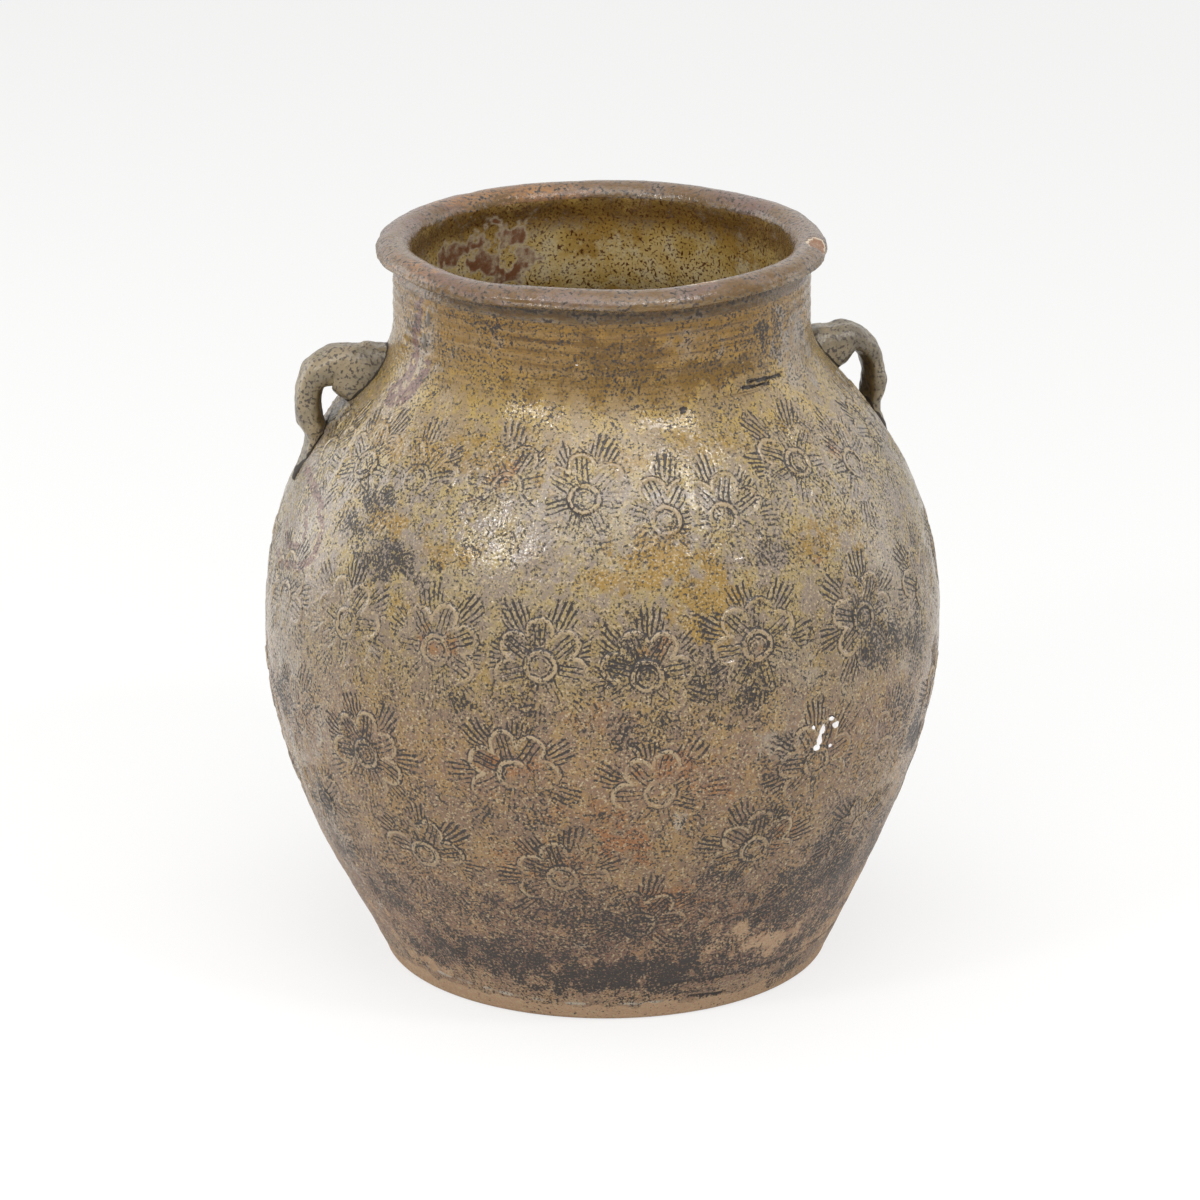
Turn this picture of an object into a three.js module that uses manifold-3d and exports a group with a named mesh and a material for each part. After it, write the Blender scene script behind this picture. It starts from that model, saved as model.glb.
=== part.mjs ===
// A wide-mouthed stoneware storage jar of the martaban kind. A base disc and two wall courses make the
// bellied body, a thrown neck and a rolled rim close it, and two strap lugs are luted to the shoulder.
// Millimetres, +Z up. The origin is the middle of the underside, so the jar stands on Z = 0.
// The front of the jar faces -Y, and the two lugs mirror each other about the YZ plane.

import * as THREE from 'three';
import { mergeVertices } from 'three/addons/utils/BufferGeometryUtils.js';
import Module from 'manifold-3d';

// Radii of the outside, from the foot to the neck
const footRadius = 102;
const bellyRadius = 155.3;
const shoulderRadius = 105;
const neckRadius = 94.3;

// Heights, stacked from the ground up
const bellyHeight = 155;
const shoulderRise = 122;
const neckFlareRise = 26;
const neckRise = 22;
const rimRise = 15;

// Walls, floor and edges
const wallThickness = 8;
const floorThickness = 12;
const footEdgeRadius = 3;
const floorCornerRadius = 9;

// Luting joints: where one course of clay stands on the next
const bodyJointDrop = 15;
const neckJointRise = 17;
const tongueRise = 2.4;
const tongueWidth = 3.4;
const tongueTipWidth = 1.6;
const jointClearance = 0.3;

// Throwing ridges round the neck
const ridgeCount = 3;
const ridgePitch = 5.6;
const ridgeHeight = 0.7;

// The roll of the rim: how far it stands out over the neck and in over the mouth, and how far its crown
// and its underside are from the height where it is widest
const rimOverhang = 7.4;
const mouthInset = 0.7;
const rollCrownRise = 6.6;
const rollUnderDrop = 2.2;

// Strap lugs
const lugBearing = 96.5;
const lugTopRise = 14.5;
const lugDrop = 62.5;
const lugReach = 22.5;
const strapThickness = 10.5;
const strapWidth = 20;
const lugSeatGap = 0.3;

// Facets of the round pieces and of the straps
const facetsAround = 52;
const outsideSteps = 10;
const insideSteps = 5;
const flareSteps = 5;
const insideFlareSteps = 2;
const strapStations = 24;
const strapSides = 16;
const strapSquareness = 2.5;

// Heights and radii that follow from the sizes above
const shoulderHeight = bellyHeight + shoulderRise;
const neckHeight = shoulderHeight + neckFlareRise;
const rimSeatHeight = neckHeight + neckRise;
const jarHeight = rimSeatHeight + rimRise;
const rimRadius = neckRadius + rimOverhang;
const bodyJointHeight = bellyHeight - bodyJointDrop;
const neckJointHeight = shoulderHeight + neckJointRise;

const wasm = await Module();
wasm.setup();

// The body's outline is two cubic curves that meet upright at the belly. Their inner handles are placed
// by shares of the way from one end of the curve to the other: outwards or inwards, and up.
const flareOutShare = 0.662;
const flareUpShare = 0.452;
const bellyUnderShare = 0.71;
const bellyOverShare = 0.492;
const shoulderOutShare = 0.547;
const shoulderUpShare = 0.762;

function lowerBodyCurve() {
  const foot = new THREE.Vector2(footRadius, 0);
  const belly = new THREE.Vector2(bellyRadius, bellyHeight);
  const footHandle = new THREE.Vector2(
    THREE.MathUtils.lerp(footRadius, bellyRadius, flareOutShare),
    bellyHeight * flareUpShare,
  );
  const bellyHandle = new THREE.Vector2(bellyRadius, bellyHeight * bellyUnderShare);
  return new THREE.CubicBezierCurve(foot, footHandle, bellyHandle, belly);
}

function upperBodyCurve() {
  const belly = new THREE.Vector2(bellyRadius, bellyHeight);
  const shoulder = new THREE.Vector2(shoulderRadius, shoulderHeight);
  const bellyHandle = new THREE.Vector2(bellyRadius, bellyHeight + shoulderRise * bellyOverShare);
  const shoulderHandle = new THREE.Vector2(
    THREE.MathUtils.lerp(shoulderRadius, bellyRadius, shoulderOutShare),
    bellyHeight + shoulderRise * shoulderUpShare,
  );
  return new THREE.CubicBezierCurve(belly, bellyHandle, shoulderHandle, shoulder);
}

// The flare leaves the shoulder along its slope and ends upright in the neck.
function neckFlareCurve() {
  const slope = upperBodyCurve().getTangent(1);
  const shoulder = new THREE.Vector2(shoulderRadius, shoulderHeight);
  const climb = (neckRadius - shoulderRadius) * (slope.y / slope.x);
  const corner = new THREE.Vector2(neckRadius, shoulderHeight + climb);
  const neckFoot = new THREE.Vector2(neckRadius, neckHeight);
  return new THREE.QuadraticBezierCurve(shoulder, corner, neckFoot);
}

// The outline as points from the foot to the rim's seat, joined by straight chords.
function bodyOutline(bodySteps, neckSteps) {
  const body = lowerBodyCurve().getPoints(bodySteps);
  body.push(...upperBodyCurve().getPoints(bodySteps).slice(1));
  body.push(...neckFlareCurve().getPoints(neckSteps).slice(1));
  body.push(new THREE.Vector2(neckRadius, rimSeatHeight));
  return body;
}

// Moves each point of an outline square to the line: outwards for a positive distance.
function offsetLine(line, distance) {
  return line.map((point, index) => {
    const before = line[Math.max(index - 1, 0)];
    const after = line[Math.min(index + 1, line.length - 1)];
    const along = new THREE.Vector2().subVectors(after, before).normalize();
    const outwards = new THREE.Vector2(along.y, -along.x);
    return point.clone().addScaledVector(outwards, distance);
  });
}

const outsideLine = bodyOutline(outsideSteps, flareSteps);
const insideLine = offsetLine(bodyOutline(insideSteps, insideFlareSteps), -wallThickness);

// The radius of a line at a height; above its last point the line goes on upright.
function radiusAt(line, height) {
  const next = line.findIndex((point) => point.y > height);
  if (next < 0) {
    return line[line.length - 1].x;
  }
  const above = line[next];
  const below = line[Math.max(next - 1, 0)];
  const share = THREE.MathUtils.inverseLerp(below.y, above.y, height);
  return THREE.MathUtils.lerp(below.x, above.x, share);
}

// The stretch of a line between two heights, with its ends.
function stretch(line, low, high) {
  return [
    new THREE.Vector2(radiusAt(line, low), low),
    ...line.filter((point) => point.y > low && point.y < high),
    new THREE.Vector2(radiusAt(line, high), high),
  ];
}

// The tongue on top of a course, or the groove that takes it in the course above, from outside inwards.
function tongueLine(height, clearance) {
  const middle = (radiusAt(outsideLine, height) + radiusAt(insideLine, height)) / 2;
  const root = tongueWidth / 2 + clearance;
  const tip = tongueTipWidth / 2 + clearance;
  const top = height + tongueRise + clearance;
  return [
    new THREE.Vector2(middle + root, height),
    new THREE.Vector2(middle + tip, top),
    new THREE.Vector2(middle - tip, top),
    new THREE.Vector2(middle - root, height),
  ];
}

function tongue(height) {
  return tongueLine(height, 0);
}

function groove(height) {
  return tongueLine(height, jointClearance);
}

// An arc of an ellipse in the profile plane, from one angle to another.
function arc(centre, reach, rise, from, to, steps) {
  const curve = new THREE.EllipseCurve(centre.x, centre.y, reach, rise, from, to, to < from);
  return curve.getPoints(steps);
}

// Turns a profile about the upright axis. The profile runs counter-clockwise: up the outside of the
// piece and down its inside. A ring's profile is closed on its first point.
function turned(profile) {
  const geometry = new THREE.LatheGeometry(profile, facetsAround);
  geometry.rotateX(Math.PI / 2);
  return geometry;
}

function turnedRing(profile) {
  return turned([...profile, profile[0].clone()]);
}

// The base disc: a thick pat of clay with a rounded foot edge and a tongue round its top.
function baseDiscGeometry() {
  const edgeSteps = 3;
  const edgeTop = new THREE.Vector2(radiusAt(outsideLine, footEdgeRadius), footEdgeRadius);
  const edgeCentre = new THREE.Vector2(edgeTop.x - footEdgeRadius, footEdgeRadius);
  return turned([
    new THREE.Vector2(0, 0),
    ...arc(edgeCentre, footEdgeRadius, footEdgeRadius, -Math.PI / 2, 0, edgeSteps),
    new THREE.Vector2(radiusAt(outsideLine, floorThickness), floorThickness),
    ...tongue(floorThickness),
    new THREE.Vector2(0, floorThickness),
  ]);
}

// The lower wall stands on the disc. Inside, its clay is smeared into the corner of the floor.
function lowerWallGeometry() {
  const cornerSteps = 3;
  const cornerTop = floorThickness + floorCornerRadius;
  const cornerRadius = radiusAt(insideLine, cornerTop);
  const cornerCentre = new THREE.Vector2(cornerRadius - floorCornerRadius, cornerTop);
  const reach = floorCornerRadius;
  return turnedRing([
    ...stretch(outsideLine, floorThickness, bodyJointHeight),
    ...tongue(bodyJointHeight),
    ...stretch(insideLine, cornerTop, bodyJointHeight).reverse(),
    ...arc(cornerCentre, reach, reach, 0, -Math.PI / 2, cornerSteps).slice(1),
    ...groove(floorThickness).reverse(),
  ]);
}

// The upper wall carries the belly and the shoulder, up to the root of the neck.
function upperWallGeometry() {
  return turnedRing([
    ...stretch(outsideLine, bodyJointHeight, neckJointHeight),
    ...tongue(neckJointHeight),
    ...stretch(insideLine, bodyJointHeight, neckJointHeight).reverse(),
    ...groove(bodyJointHeight).reverse(),
  ]);
}

// The neck is thrown: soft ridges from the potter's fingers run round its upright part.
function neckRidges() {
  const ridgeShares = [0, 0.5, 1];
  const ridges = [];
  for (let ridge = 0; ridge < ridgeCount; ridge += 1) {
    const foot = neckHeight + ridge * ridgePitch;
    const crest = neckRadius + ridgeHeight;
    const radii = [neckRadius, crest, neckRadius];
    ridgeShares.forEach((share, index) => {
      const isShared = ridge > 0 && index === 0;
      if (!isShared) {
        ridges.push(new THREE.Vector2(radii[index], foot + ridgePitch * share));
      }
    });
  }
  return ridges;
}

function neckCollarGeometry() {
  const flare = stretch(outsideLine, neckJointHeight, neckHeight).slice(0, -1);
  return turnedRing([
    ...flare,
    ...neckRidges(),
    new THREE.Vector2(neckRadius, rimSeatHeight),
    ...tongue(rimSeatHeight),
    ...stretch(insideLine, neckJointHeight, rimSeatHeight).reverse(),
    ...groove(neckJointHeight).reverse(),
  ]);
}

// The rim's clay goes on upright from the neck and is then rolled outwards into a flat-bellied lip that
// overhangs the neck, with a sharp crease under it.
function rolledRimGeometry() {
  const underSteps = 5;
  const crownSteps = 10;
  const rollReach = (rimOverhang + wallThickness + mouthInset) / 2;
  const rollMiddle = new THREE.Vector2(rimRadius - rollReach, jarHeight - rollCrownRise);
  const creaseAngle = -Math.acos((neckRadius - rollMiddle.x) / rollReach);
  return turnedRing([
    new THREE.Vector2(neckRadius, rimSeatHeight),
    ...arc(rollMiddle, rollReach, rollUnderDrop, creaseAngle, 0, underSteps),
    ...arc(rollMiddle, rollReach, rollCrownRise, 0, Math.PI, crownSteps).slice(1),
    new THREE.Vector2(radiusAt(insideLine, rimSeatHeight), rimSeatHeight),
    ...groove(rimSeatHeight).reverse(),
  ]);
}

// A lug is one pulled strap. Each row of shares is a place along it, from the thick root at the neck,
// over the arch and down to the tail that is pressed out thin along the shoulder:
// how far below the lug's top, how far out from the wall, half the thickness and half the width.
const lugShares = [
  [0.25, -0.36, 1.33, 0.6],
  [0.2, 0.3, 1.17, 0.575],
  [0.147, 0.84, 0.74, 0.53],
  [0.224, 1.02, 0.57, 0.5],
  [0.37, 0.79, 0.5, 0.5],
  [0.52, 0.45, 0.52, 0.52],
  [0.664, 0.08, 0.4, 0.48],
  [0.824, -0.06, 0.25, 0.4],
  [1, -0.05, 0.17, 0.2],
];

function lugMiddleLine() {
  const lugTop = shoulderHeight + lugTopRise;
  return new THREE.CatmullRomCurve3(lugShares.map(([dropShare, reachShare]) => {
    const height = lugTop - lugDrop * dropShare;
    return new THREE.Vector3(radiusAt(outsideLine, height) + lugReach * reachShare, 0, height);
  }));
}

function lugSectionSizes() {
  return new THREE.CatmullRomCurve3(lugShares.map(([, , thicknessShare, widthShare]) => (
    new THREE.Vector3(strapThickness * thicknessShare, strapWidth * widthShare, 0)
  )));
}

// A power that keeps its sign squares off the strap's round section.
function squared(value) {
  return Math.sign(value) * Math.abs(value) ** (2 / strapSquareness);
}

function strapRing(middleLine, sectionSizes, share) {
  const middle = middleLine.getPoint(share);
  const along = middleLine.getTangent(share);
  const outwards = new THREE.Vector3(-along.z, 0, along.x);
  const size = sectionSizes.getPoint(share);
  const ring = [];
  for (let side = 0; side < strapSides; side += 1) {
    const angle = (side / strapSides) * 2 * Math.PI;
    const point = middle.clone().addScaledVector(outwards, size.x * squared(Math.cos(angle)));
    point.y = size.y * squared(Math.sin(angle));
    ring.push(point);
  }
  return ring;
}

// The strap before it is fitted to the wall, in the plane of +X and Z. Rings of points are joined by
// quads, and a fan from the middle line closes each end.
function strapGeometry() {
  const middleLine = lugMiddleLine();
  const sectionSizes = lugSectionSizes();
  const points = [];
  for (let station = 0; station <= strapStations; station += 1) {
    points.push(...strapRing(middleLine, sectionSizes, station / strapStations));
  }
  const rootMiddle = points.push(middleLine.getPoint(0)) - 1;
  const tailMiddle = points.push(middleLine.getPoint(1)) - 1;
  const lastRing = strapStations * strapSides;
  const faces = [];
  for (let side = 0; side < strapSides; side += 1) {
    const next = (side + 1) % strapSides;
    for (let ring = 0; ring < lastRing; ring += strapSides) {
      const above = ring + strapSides;
      faces.push(ring + side, above + side, above + next);
      faces.push(ring + side, above + next, ring + next);
    }
    faces.push(rootMiddle, side, next);
    faces.push(tailMiddle, lastRing + next, lastRing + side);
  }
  const geometry = new THREE.BufferGeometry().setFromPoints(points);
  geometry.setIndex(faces);
  return geometry;
}

// A closed geometry as a solid, and a solid as a geometry again.
function solidOf(geometry) {
  const bare = new THREE.BufferGeometry();
  bare.setAttribute('position', geometry.getAttribute('position'));
  bare.setIndex(geometry.getIndex());
  const merged = mergeVertices(bare);
  const mesh = new wasm.Mesh({
    numProp: 3,
    vertProperties: new Float32Array(merged.getAttribute('position').array),
    triVerts: new Uint32Array(merged.getIndex().array),
  });
  mesh.merge();
  return new wasm.Manifold(mesh);
}

function geometryOf(solid) {
  const mesh = solid.getMesh();
  const geometry = new THREE.BufferGeometry();
  geometry.setAttribute('position', new THREE.BufferAttribute(mesh.vertProperties, mesh.numProp));
  geometry.setIndex(new THREE.BufferAttribute(mesh.triVerts, 1));
  return geometry;
}

// The whole jar's outside, swollen by the seat gap and turned to meet a lug at its bearing.
function lugSeatSolid(bearing) {
  const seatLine = offsetLine(outsideLine, lugSeatGap);
  const foot = new THREE.Vector2(0, seatLine[0].y);
  const top = new THREE.Vector2(0, rimSeatHeight);
  const geometry = turned([foot, ...seatLine, top]);
  geometry.rotateZ(-bearing);
  return solidOf(geometry);
}

function lugGeometry(bearing) {
  return geometryOf(solidOf(strapGeometry()).subtract(lugSeatSolid(bearing)));
}

// One named mesh, with the clay's or glaze's colour on it.
function piece(name, geometry, material) {
  const mesh = new THREE.Mesh(geometry, new THREE.MeshStandardMaterial(material));
  mesh.name = name;
  return mesh;
}

// A lug is built on the +X side and turned to its bearing, counted from the front of the jar.
function lug(name, bearingFromFront) {
  const bearing = THREE.MathUtils.degToRad(bearingFromFront) - Math.PI / 2;
  const mesh = piece(name, lugGeometry(bearing), lugGlaze);
  mesh.rotation.z = bearing;
  return mesh;
}

// Colours of the fired clay and of the thin ash glaze over it
const bareClay = { color: 0xa9825f, roughness: 0.85, metalness: 0 };
const wallGlaze = { color: 0x9d8560, roughness: 0.5, metalness: 0 };
const neckGlaze = { color: 0xa58350, roughness: 0.45, metalness: 0 };
const wornRim = { color: 0xa08f86, roughness: 0.6, metalness: 0 };
const lugGlaze = { color: 0x88744f, roughness: 0.45, metalness: 0 };

const group = new THREE.Group();
group.add(piece('base_disc', baseDiscGeometry(), bareClay));
group.add(piece('lower_wall', lowerWallGeometry(), wallGlaze));
group.add(piece('upper_wall', upperWallGeometry(), wallGlaze));
group.add(piece('neck_collar', neckCollarGeometry(), neckGlaze));
group.add(piece('rolled_rim', rolledRimGeometry(), wornRim));
group.add(lug('lug_left', -lugBearing));
group.add(lug('lug_right', lugBearing));

export default group;
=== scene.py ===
# A martaban jar: a wide-mouthed stoneware storage jar with stamped flowers under a thin ash glaze.
# Lengths in this script are metres, written as millimetres times MM.

import math

import bmesh
import bpy
import numpy as np
from mathutils import Matrix, Vector


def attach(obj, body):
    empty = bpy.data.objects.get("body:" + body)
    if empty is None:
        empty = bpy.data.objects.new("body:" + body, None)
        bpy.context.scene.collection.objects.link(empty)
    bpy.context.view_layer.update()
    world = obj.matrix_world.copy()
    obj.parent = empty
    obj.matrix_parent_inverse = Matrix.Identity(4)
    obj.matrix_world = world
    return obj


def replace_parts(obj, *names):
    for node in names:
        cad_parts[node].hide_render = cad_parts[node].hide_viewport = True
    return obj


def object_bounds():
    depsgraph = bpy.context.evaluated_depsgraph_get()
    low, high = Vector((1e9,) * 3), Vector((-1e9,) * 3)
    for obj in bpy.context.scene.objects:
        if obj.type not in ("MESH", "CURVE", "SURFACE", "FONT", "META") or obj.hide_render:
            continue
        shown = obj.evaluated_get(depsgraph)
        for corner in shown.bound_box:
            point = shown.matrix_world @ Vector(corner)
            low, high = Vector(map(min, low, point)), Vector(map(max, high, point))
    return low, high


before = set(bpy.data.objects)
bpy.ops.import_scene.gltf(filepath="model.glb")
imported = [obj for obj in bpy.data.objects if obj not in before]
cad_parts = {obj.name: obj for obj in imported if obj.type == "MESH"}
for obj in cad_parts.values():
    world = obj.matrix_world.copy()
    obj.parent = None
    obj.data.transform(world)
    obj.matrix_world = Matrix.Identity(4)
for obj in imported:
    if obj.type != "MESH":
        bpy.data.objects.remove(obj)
cad_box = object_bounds()

MM = 0.001

# The studio
# A plain pale floor under white surroundings. A wide soft box in front and one overhead light the jar,
# two small ones put glints on the neck and the shoulder, and panels at the sides give the pale sheen
# along the edges. The camera stands a little left of the jar's front and looks down at it.
JAR_HEIGHT = cad_box[1].z
CAMERA_BEARING = math.radians(-10)
CAMERA_RISE = math.radians(19.12)
CAMERA_DISTANCE = 7.49 * JAR_HEIGHT
CAMERA_AIM = Vector((0, 0, 0.487 * JAR_HEIGHT))
CAMERA_LENS = 165.9
CAMERA_SENSOR = 36
CAMERA_SHIFT = -0.0013
FLOOR_SIZE = 12
FLOOR_WHITE = "#f6f5f3"
# How far the floor's own white covers the jar's shadow, for the camera alone
FLOOR_GLOW = 0.7
# How strongly the surroundings light the jar, where 1 is how white they look
SKY_LEVEL = 0.55
LAMP_REACH = 1.7
# Each lamp: bearing and rise in degrees, width and height in metres, watts
SOFT_BOXES = {
    "soft_box_left": (-52, 38, 0.24, 0.14, 5.4),
    "soft_box_right": (36, 51, 0.24, 0.12, 5.0),
    "soft_box_front": (-10, 54, 1.4, 0.9, 9.0),
    "soft_box_over": (-10, 78, 1.2, 1.2, 7.0),
    "side_panel_left": (-124, 12, 1.1, 1.3, 9.4),
    "side_panel_right": (100, 14, 0.7, 1.2, 3.4),
}


def colour(code):
    """An sRGB hex colour as linear red, green, blue and alpha."""
    shares = [int(code[start:start + 2], 16) / 255 for start in (1, 3, 5)]
    linear = [share / 12.92 if share <= 0.04045 else ((share + 0.055) / 1.055) ** 2.4 for share in shares]
    return (*linear, 1)


def add(tree, kind, sockets=None, out=None, stops=(), **settings):
    """Adds a node with its settings, sets or links its sockets, and gives back one of its outputs."""
    node = tree.nodes.new(kind)
    for name, value in settings.items():
        setattr(node, name, value)
    for name, value in (sockets or {}).items():
        socket = next(plug for plug in node.inputs if name in (plug.identifier, plug.name))
        if isinstance(value, bpy.types.NodeSocket):
            tree.links.new(value, socket)
        else:
            socket.default_value = colour(value) if isinstance(value, str) else value
    for index, (place, code) in enumerate(stops):
        band = node.color_ramp.elements
        stop = band[index] if index < 2 else band.new(place)
        stop.position = place
        stop.color = colour(code)
    if not node.outputs:
        return node
    return next(plug for plug in node.outputs if out in (None, plug.identifier, plug.name))


def direction(bearing, rise):
    """The way from the jar to something at a bearing from the jar's front and a rise above level."""
    return Vector((
        math.sin(bearing) * math.cos(rise),
        -math.cos(bearing) * math.cos(rise),
        math.sin(rise),
    ))


def aimed(thing, place, target):
    """Puts a lamp or the camera at a place, facing a target."""
    thing.location = place
    thing.rotation_euler = (target - place).to_track_quat("-Z", "Y").to_euler()
    bpy.context.scene.collection.objects.link(thing)


camera_data = bpy.data.cameras.new("camera")
camera_data.lens = CAMERA_LENS
camera_data.sensor_width = CAMERA_SENSOR
camera_data.shift_x = CAMERA_SHIFT
camera = bpy.data.objects.new("camera", camera_data)
camera_way = direction(CAMERA_BEARING, CAMERA_RISE)
aimed(camera, CAMERA_AIM + camera_way * CAMERA_DISTANCE, CAMERA_AIM)
bpy.context.scene.camera = camera
bpy.context.scene.view_settings.view_transform = "Standard"

for lamp_name, (bearing, rise, width, height, watts) in SOFT_BOXES.items():
    lamp_data = bpy.data.lights.new(lamp_name, "AREA")
    lamp_data.shape = "RECTANGLE"
    lamp_data.size = width
    lamp_data.size_y = height
    lamp_data.energy = watts
    lamp = bpy.data.objects.new(lamp_name, lamp_data)
    lamp_way = direction(math.radians(bearing), math.radians(rise))
    aimed(lamp, CAMERA_AIM + lamp_way * LAMP_REACH, CAMERA_AIM)

world = bpy.data.worlds.new("white_surroundings")
bpy.context.scene.world = world
world.use_nodes = True
sky = world.node_tree
sky.nodes.clear()
seen = add(sky, "ShaderNodeLightPath", out="Is Camera Ray")
mirrored = add(sky, "ShaderNodeLightPath", out="Is Glossy Ray")
refracted = add(sky, "ShaderNodeLightPath", out="Is Transmission Ray")
seen_or_mirrored = add(sky, "ShaderNodeMath", {"Value": seen, "Value_001": mirrored}, operation="MAXIMUM")
looked_at = add(
    sky, "ShaderNodeMath", {"Value": seen_or_mirrored, "Value_001": refracted}, operation="MAXIMUM",
)
sky_level = add(sky, "ShaderNodeMapRange", {"Value": looked_at, "To Min": SKY_LEVEL, "To Max": 1.0})
backdrop = add(sky, "ShaderNodeBackground", {"Color": "#ffffff", "Strength": sky_level})
add(sky, "ShaderNodeOutputWorld", {"Surface": backdrop})

floor_shape = bmesh.new()
bmesh.ops.create_grid(floor_shape, x_segments=1, y_segments=1, size=FLOOR_SIZE / 2)
floor_mesh = bpy.data.meshes.new("floor")
floor_shape.to_mesh(floor_mesh)
floor_shape.free()
floor = bpy.data.objects.new("floor", floor_mesh)
bpy.context.scene.collection.objects.link(floor)
paper = bpy.data.materials.new("matt_white_paper")
paper.use_nodes = True
paper_tree = paper.node_tree
paper_tree.nodes.clear()
matt = add(paper_tree, "ShaderNodeBsdfDiffuse", {"Color": FLOOR_WHITE})
glow = add(paper_tree, "ShaderNodeEmission", {"Color": "#ffffff", "Strength": 1.0})
direct = add(paper_tree, "ShaderNodeLightPath", out="Is Camera Ray")
share = add(paper_tree, "ShaderNodeMath", {"Value": direct, "Value_001": FLOOR_GLOW}, operation="MULTIPLY")
paper_mix = add(paper_tree, "ShaderNodeMixShader", {"Fac": share, "Shader": matt, "Shader_001": glow})
add(paper_tree, "ShaderNodeOutputMaterial", {"Surface": paper_mix})
floor_mesh.materials.append(paper)

# The foot disc
# A thick pat of buff stoneware clay, cut round with a wire and left bare. It is the jar's foot and its
# floor. The walls are coiled up from its edge.
FOOT_RADIUS = 102 * MM
BELLY_RADIUS = 155.3 * MM
SHOULDER_RADIUS = 105 * MM
NECK_RADIUS = 94.3 * MM
BELLY_HEIGHT = 155 * MM
SHOULDER_HEIGHT = 277 * MM
NECK_HEIGHT = 303 * MM
RIM_SEAT = 325 * MM
WALL = 8 * MM
FLOOR_TOP = 12 * MM
FOOT_EDGE = 3 * MM
# The inner handles of the body's two curves, as shares of the way from one end of a curve to the other
FLARE_OUT = 0.662
FLARE_UP = 0.452
BELLY_UNDER = 0.71
BELLY_OVER = 0.492
SHOULDER_OUT = 0.547
SHOULDER_UP = 0.762
# How finely the outline is worked out, and how finely the meshes follow it
BODY_STEPS = 400
FLARE_STEPS = 60
NECK_STEPS = 40
FOOT_EDGE_STEPS = 7
COLUMNS = 1200
ROW = 0.8 * MM
EDGE_ROW = 0.1 * MM
INSIDE_ROW = 5 * MM
# How far the jar sagged off its foot sideways, and the height from which it is true
FOOT_SHIFT = 2 * MM
FOOT_SHIFT_TOP = 70 * MM


def curve_through(handles, steps):
    """Points along the Bezier curve with these handles, each a radius and a height."""
    shares = np.linspace(0, 1, steps)[:, None]
    rows = [np.array(handle, float)[None, :] for handle in handles]
    while len(rows) > 1:
        rows = [low * (1 - shares) + high * shares for low, high in zip(rows, rows[1:])]
    return rows[0]


def between(low, high, share):
    return low + (high - low) * share


# The body's outline: two cubic curves that meet upright at the belly, a flare and the upright neck
shoulder_handle = (
    between(SHOULDER_RADIUS, BELLY_RADIUS, SHOULDER_OUT),
    between(BELLY_HEIGHT, SHOULDER_HEIGHT, SHOULDER_UP),
)
shoulder_slope = (SHOULDER_HEIGHT - shoulder_handle[1]) / (SHOULDER_RADIUS - shoulder_handle[0])
lower_curve = curve_through([
    (FOOT_RADIUS, 0),
    (between(FOOT_RADIUS, BELLY_RADIUS, FLARE_OUT), BELLY_HEIGHT * FLARE_UP),
    (BELLY_RADIUS, BELLY_HEIGHT * BELLY_UNDER),
    (BELLY_RADIUS, BELLY_HEIGHT),
], BODY_STEPS)
upper_curve = curve_through([
    (BELLY_RADIUS, BELLY_HEIGHT),
    (BELLY_RADIUS, between(BELLY_HEIGHT, SHOULDER_HEIGHT, BELLY_OVER)),
    shoulder_handle,
    (SHOULDER_RADIUS, SHOULDER_HEIGHT),
], BODY_STEPS)
flare_curve = curve_through([
    (SHOULDER_RADIUS, SHOULDER_HEIGHT),
    (NECK_RADIUS, SHOULDER_HEIGHT + (NECK_RADIUS - SHOULDER_RADIUS) * shoulder_slope),
    (NECK_RADIUS, NECK_HEIGHT),
], FLARE_STEPS)
neck_heights = np.linspace(NECK_HEIGHT, JAR_HEIGHT, NECK_STEPS)
neck_line = np.column_stack([np.full(NECK_STEPS, NECK_RADIUS), neck_heights])
outline = np.vstack([lower_curve, upper_curve[1:], flare_curve[1:], neck_line[1:]])
outline_steps = np.diff(outline, axis=0)
outline_length = np.concatenate([[0], np.cumsum(np.hypot(*outline_steps.T))])
outline_along = np.gradient(outline, outline_length, axis=0)
inside_outline = outline - WALL * np.column_stack([outline_along[:, 1], -outline_along[:, 0]])


def outside_at(height):
    """The radius of the jar's outside at a height."""
    return np.interp(height, outline[:, 1], outline[:, 0])


def inside_at(height):
    """The radius of the jar's inside at a height."""
    return np.interp(height, inside_outline[:, 1], inside_outline[:, 0])


def length_at(height):
    """How far up the outline a height is, measured along the clay."""
    return np.interp(height, outline[:, 1], outline_length)


def height_at(length):
    return np.interp(length, outline_length, outline[:, 1])


def evenly(low, high, pitch):
    """Values from low to high, both included, about a pitch apart."""
    return np.linspace(low, high, max(2, round(abs(high - low) / pitch) + 1))


def outside_rows(low, high):
    """Radius and height of the rows of a wall's outside, evenly spaced along the clay. The first and
    the last row are close together, so that the shading runs on from one piece to the next."""
    lengths = evenly(length_at(low), length_at(high), ROW)
    near_ends = lengths[0] + EDGE_ROW, lengths[-1] - EDGE_ROW
    heights = height_at(np.sort(np.concatenate([lengths, near_ends])))
    heights[0], heights[-1] = low, high
    return list(zip(outside_at(heights), heights))


def inside_rows(low, high, row=INSIDE_ROW):
    """The same for a wall's inside, evenly spaced in height by about a row."""
    near_ends = low + EDGE_ROW, high - EDGE_ROW
    heights = np.sort(np.concatenate([evenly(low, high, row), near_ends]))
    return list(zip(inside_at(heights), heights))


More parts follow.
